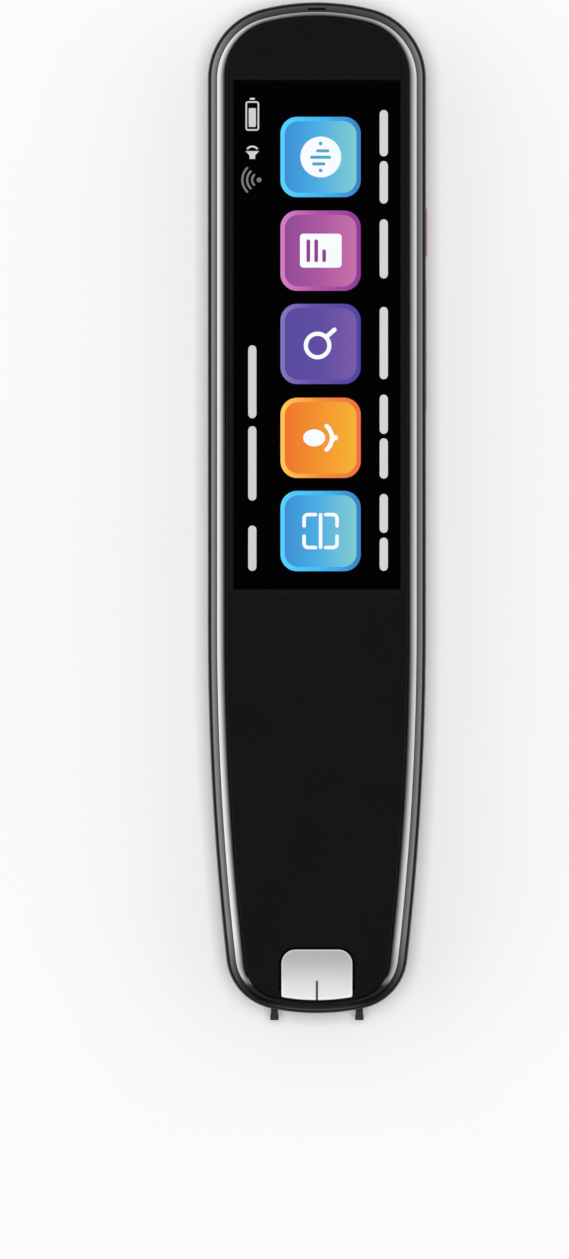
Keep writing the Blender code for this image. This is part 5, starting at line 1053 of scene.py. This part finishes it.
# %% [markdown]
# ## Finishes for the solids that stay
# The rest of the pen keeps its solids. Most of them are hidden inside, but a part is also looked at taken
# apart, so each gets the finish that such a thing really has. A few rules make them all: a moulding with a
# fine spark-eroded skin, bare or brushed metal, a printed circuit, foil, foam, woven mesh, film and glass.
# %% Mouldings and metals
def moulding(name, colour, roughness, grain=0.25, depth=0.006, plain=None):
    finish = Finish(name, plain or {})
    clouds = finish.noise(3.0, 3.0)
    finish.wire("Base Color", finish.blend(clouds, times(colour, 0.82), times(colour, 1.16)))
    finish.wire("Roughness", roughness + (clouds - 0.5) * 0.12)
    finish.bump(finish.noise(grain, 2.0), depth)
    return finish


def metal(name, colour, roughness, stretch=(1.0, 0.08, 1.0)):
    """Metal with fine lines drawn out along the stretched axis."""
    finish = Finish(name, {"Metallic": 1.0})
    lines = finish.noise(0.16, 3.0, stretch)
    tarnish = finish.noise(4.0, 3.0)
    finish.wire("Base Color", finish.blend(tarnish, times(colour, 0.84), times(colour, 1.08)))
    finish.wire("Roughness", roughness + (lines - 0.5) * 0.2)
    finish.bump(lines, 0.002)
    return finish


RED_KEY = shade(196, 38, 66)
print("red key:", [round(v, 3) for v in RED_KEY])

# %% Circuits, films, foil and foam
def circuit(name, mask):
    """Solder mask over copper: paler tracks run under it, and tinned pads stand bare."""
    finish = Finish(name, {"Specular IOR Level": 0.5})
    waves = {"bands_direction": "DIAGONAL", "wave_profile": "SIN"}
    tracks = finish.node("TexWave", waves, {"Vector": finish.place, "Scale": 0.55, "Distortion": 5.0})
    track = finish.rise(tracks, 0.62, 0.7)
    dots = finish.rise(finish.cells(1.3), 0.2, 0.14)
    green = finish.blend(track, mask, times(mask, 1.9))
    finish.wire("Base Color", finish.blend(dots, green, (0.6, 0.52, 0.32)))
    finish.wire("Metallic", dots * 0.9)
    finish.wire("Roughness", 0.42 - dots * 0.15)
    finish.bump(track * 0.5 + dots, 0.02)
    return finish


def ribbon_cable(name):
    """Amber film with copper lines inside, which run along the pen."""
    finish = Finish(name, {"Specular IOR Level": 0.5})
    lines = finish.node("TexWave", {"bands_direction": "X"}, {"Vector": finish.place, "Scale": 0.8})
    copper = finish.rise(lines, 0.5, 0.62)
    finish.wire("Base Color", finish.blend(copper, (0.36, 0.17, 0.03), (0.52, 0.27, 0.07)))
    finish.wire("Roughness", 0.3 + finish.noise(1.5) * 0.16)
    finish.bump(copper, 0.01)
    return finish


def foil():
    """The pouch of the cell: crinkled foil with a soft sheen."""
    finish = Finish("pouch_foil", {"Metallic": 0.85})
    creases = finish.noise(1.8, 5.0, (1.0, 0.55, 1.0))
    finish.wire("Base Color", finish.blend(creases, (0.42, 0.43, 0.45), (0.6, 0.61, 0.63)))
    finish.wire("Roughness", 0.28 + creases * 0.16)
    finish.bump(creases, 0.06)
    return finish


def foam(name, colour):
    finish = Finish(name, {"Roughness": 0.92})
    cells = finish.cells(0.22)
    finish.wire("Base Color", finish.blend(cells, times(colour, 0.5), times(colour, 1.5)))
    finish.bump(cells, 0.04)
    return finish


def woven_mesh():
    """The dust mesh behind the sound slots: threads one way over threads the other way."""
    finish = Finish("dust_mesh", {"Metallic": 0.4, "Specular IOR Level": 0.4})
    threads = [
        finish.node("TexWave", {"bands_direction": axis}, {"Vector": finish.place, "Scale": 1.6})
        for axis in ("X", "Y")
    ]
    weave = threads[0] * threads[1]
    finish.wire("Base Color", finish.blend(weave, (0.06, 0.06, 0.062), (0.008, 0.008, 0.008)))
    finish.wire("Roughness", 0.42 + weave * 0.3)
    finish.bump(1 - weave, 0.03)
    return finish


print("patterns ready:", len(bpy.data.materials), "finishes so far")

# %% [markdown]
# Clear pieces need care: a sheet of glass over a lit picture is mostly Alpha, with a plain value that every
# viewer reads. The display under it is black glass that mirrors very little, or the picture would look
# washed out. A lamp's dome glows a little, as a phosphor does.
# %% Glass and lamps
def pane(name, colour, alpha):
    finish = Finish(name, {"Base Color": colour, "Alpha": alpha, "Specular IOR Level": 0.1})
    finish.wire("Roughness", 0.03 + finish.noise(5.0) * 0.05)
    return finish


def black_glass(name, colour, roughness=0.06, mirror=0.5):
    finish = Finish(name, {"Specular IOR Level": mirror})
    sheen = finish.noise(4.0, 2.0)
    finish.wire("Base Color", finish.blend(sheen, times(colour, 0.8), times(colour, 1.2)))
    finish.wire("Roughness", roughness + sheen * 0.03)
    return finish


def lamp_dome():
    finish = Finish("lamp_dome", {"Roughness": 0.3, "Emission Strength": 0.35})
    middle = finish.rise(finish.cells(1.6), 0.5, 0.1)
    finish.wire("Base Color", finish.blend(middle, (0.78, 0.78, 0.76), (0.82, 0.66, 0.18)))
    finish.wire("Emission Color", finish.blend(middle, (0.5, 0.5, 0.48), (0.9, 0.75, 0.3)))
    return finish


print("glass ready")

# %% [markdown]
# One table then says which solids take which finish, and each of them drops the plain one that it came
# with.
# %% Dress the solids
DRESS = (
    (moulding("nib_graphite", shade(52, 54, 52), 0.42, 0.3, 0.008), ("nib_fork",)),
    (moulding("key_red", RED_KEY, 0.3, 0.5, 0.003), ("power_button",)),
    (
        moulding("key_black", (0.008, 0.008, 0.009), 0.3, 0.5, 0.003, {"Specular IOR Level": 0.1}),
        ("volume_rocker",),
    ),
    (black_glass("display_black", (0.0003, 0.0003, 0.0003), 0.06, 0.05), ("lcd_glass",)),
    (pane("touch_sheet", (0.002, 0.002, 0.002), SHEET_ALPHA), ("touch_panel",)),
    (pane("scan_pane", (0.5, 0.55, 0.56), 0.22), ("scan_glass",)),
    (black_glass("coated_lens", (0.03, 0.016, 0.06), 0.03), ("camera_lens",)),
    (moulding("backlight_white", (0.72, 0.73, 0.75), 0.35, 0.6, 0.003), ("backlight_unit", "battery_pad")),
    (lamp_dome(), ("led_left", "led_right")),
    (metal("cast_magnesium", (0.45, 0.46, 0.47), 0.45, (1.0, 1.0, 1.0)), ("inner_chassis",)),
    (foam("tape_and_foam", (0.02, 0.02, 0.02)), ("lens_tape", "speaker_gasket")),
    (woven_mesh(), ("grille_mesh",)),
    (
        moulding("inner_black", (0.016, 0.016, 0.017), 0.55),
        ("nib_switch", "head_hood", "camera_barrel", "camera_module", "speaker_frame", "usb_tongue"),
    ),
    (moulding("cone_film", (0.045, 0.045, 0.05), 0.4, 0.8, 0.01), ("speaker_cone",)),
    (
        moulding("chip_epoxy", (0.018, 0.018, 0.019), 0.48, 0.14, 0.006),
        ("processor", "memory_chip", "power_chip"),
    ),
    (
        moulding("rubber_nubs", (0.03, 0.03, 0.03), 0.78),
        ("power_plunger", "rocker_plunger_low", "rocker_plunger_high"),
    ),
    (
        moulding("ivory_nylon", (0.68, 0.64, 0.53), 0.5),
        ("battery_plug", "camera_connector", "display_connector"),
    ),
    (moulding("tan_nylon", (0.5, 0.38, 0.2), 0.5), ("nib_switch_plunger",)),
    (moulding("sleeve_red", (0.5, 0.012, 0.012), 0.45), ("battery_lead_red",)),
    (moulding("sleeve_black", (0.012, 0.012, 0.012), 0.45), ("battery_lead_black",)),
    (circuit("circuit_green", (0.012, 0.085, 0.035)), ("main_board", "side_key_board", "led_board")),
    (ribbon_cable("amber_film"), ("display_flex", "camera_flex")),
    (foil(), ("battery_cell",)),
    (
        metal("tinned_steel", (0.6, 0.6, 0.6), 0.3),
        ("wireless_shield", "power_switch", "volume_down_switch", "volume_up_switch"),
    ),
    (metal("socket_steel", (0.62, 0.62, 0.64), 0.26), ("usb_socket",)),
    (metal("screw_steel", (0.5, 0.5, 0.5), 0.32, (1.0, 1.0, 1.0)), ("board_screw_high", "board_screw_low")),
    (
        metal("blackened_steel", (0.06, 0.06, 0.065), 0.34, (1.0, 1.0, 1.0)),
        ("case_screw_top_right", "case_screw_top_left", "case_screw_tip_right", "case_screw_tip_left"),
    ),
    (metal("gilt_can", (0.62, 0.5, 0.24), 0.3), ("mic_left", "mic_right")),
    (metal("bare_copper", (0.62, 0.31, 0.14), 0.34), ("antenna_strip",)),
)
for finish, names in DRESS:
    for name in names:
        slots = NODES[name].data.materials
        slots.clear()
        slots.append(finish.owner)
dressed = {name for _, names in DRESS for name in names}
replaced = {"rear_shell", "bezel_frame", "front_lens", "sight_window", "nib_spring_left", "nib_spring_right"}
print("dressed:", len(dressed), "left bare:", sorted(set(NODES) - dressed - replaced))

# %% [markdown]
# ## The floor
# The pen lies on a plain pale sheet, wide enough to fill every view. Its colour is nearly white, and the
# light is set so that a colour renders about as it is written, so the sheet comes out white and still keeps
# the pen's shadow.
# %% The sheet under the pen
def pale_sheet():
    finish = Finish("pale_sheet", {"Roughness": 0.7, "Specular IOR Level": 0.2})
    clouds = finish.noise(60.0, 2.0)
    finish.wire("Base Color", finish.blend(clouds, (0.93, 0.93, 0.93), (0.95, 0.95, 0.95)))
    return finish


FLOOR_HALF, FLOOR_Z = 4000.0, -0.05
sheet = bmesh.new()
sheet_corners = [(x * FLOOR_HALF, y * FLOOR_HALF) for x, y in ((-1, -1), (1, -1), (1, 1), (-1, 1))]
sheet.faces.new([sheet.verts.new((x, y, FLOOR_Z)) for x, y in sheet_corners])
floor = add_piece("floor", sheet, pale_sheet(), smooth=False)
print("floor of", 2 * FLOOR_HALF / 1000, "m")

# %% [markdown]
# ## The light
# The photograph was lit from both sides by long soft lights, with little from above and almost none from
# the tip. A sky whose brightness depends on direction does that with no edges: bright to the left, a little
# less to the right, less than half as bright beyond the socket, and dark overhead and at the tip. A wide
# lamp above fills in the matt colours. It is left out of reflections, or it would show as a white square in
# the black glass.
# %% Sky and lamp
scene = bpy.context.scene
scene.view_settings.view_transform = "Standard"
SKY_DARK, SKY_LEFT, SKY_RIGHT, SKY_TOP, SKY_TIP, SKY_FALL = 0.009, 0.97, 0.77, 0.38, 0.06, 1.5
SIDES_SPREAD, SIDES_END, SIDES_FULL = 0.9, -0.12, 0.16
world = bpy.data.worlds.new("studio")
scene.world = world
sky = Board(world)
direction = sky.node("TexCoord", output="Generated")
east = sky.node("SeparateXYZ", None, {0: direction}, "X")
north = sky.node("SeparateXYZ", None, {0: direction}, "Y")
left_light = sky.power(sky.larger(east * -1.0, 0.0), SKY_FALL) * SKY_LEFT
right_light = sky.power(sky.larger(east, 0.0), SKY_FALL) * SKY_RIGHT
top_light = sky.power(sky.larger(north, 0.0), SKY_FALL) * SKY_TOP
tip_light = sky.power(sky.larger(north * -1.0, 0.0), SKY_FALL) * SKY_TIP
sides_end = sky.rise(north + sky.absolute(east) * SIDES_SPREAD, SIDES_END, SIDES_FULL)
sides = (left_light + right_light) * sides_end
sky.feed(sky.tree.nodes["Background"].inputs["Color"], sides + top_light + tip_light + SKY_DARK)

FILL_SIZE, FILL_HEIGHT, FILL_POWER = 2.0, 4.5, 155.0
lamp = bpy.data.lights.new("fill", "AREA")
lamp.size = FILL_SIZE
lamp.energy = FILL_POWER
fill = bpy.data.objects.new("fill", lamp)
fill.location = (0.0, 0.0, FILL_HEIGHT)
fill.visible_glossy = False
fill.visible_camera = False
scene.collection.objects.link(fill)
print("fill of", FILL_POWER, "W at", FILL_HEIGHT, "m")

# %% [markdown]
# ## The camera
# The photograph looks straight down at the front from far off, so a long lens stands above the pen's
# middle. The pen isn't in the middle of the picture, and moving the camera would show its sides, so the
# lens is shifted instead. A pixel measures 0.141 mm in a plane through the pen's side, 9.2 mm above the
# floor, which sets the distance.
# %% Camera
PICTURE_WIDTH, PICTURE_HEIGHT = 569, 1259
PIXEL = 0.141
PEN_COLUMN, PEN_ROW = 316.9, 507.75
PICTURE_Z = 9.2
LENS, SENSOR = 400.0, 36.0
camera_data = bpy.data.cameras.new("camera")
camera_data.lens = LENS
camera_data.sensor_width = SENSOR
camera_data.shift_x = -(PEN_COLUMN - PICTURE_WIDTH / 2) / PICTURE_HEIGHT
camera_data.shift_y = -(PICTURE_HEIGHT / 2 - PEN_ROW) / PICTURE_HEIGHT
distance = PICTURE_HEIGHT * PIXEL * LENS / SENSOR
camera_data.clip_start, camera_data.clip_end = 0.01, 20.0
camera = bpy.data.objects.new("camera", camera_data)
camera.location = (0.0, 0.0, (distance + PICTURE_Z) * MM)
scene.collection.objects.link(camera)
scene.camera = camera
print("camera", round(distance), "mm above the plane of the picture")
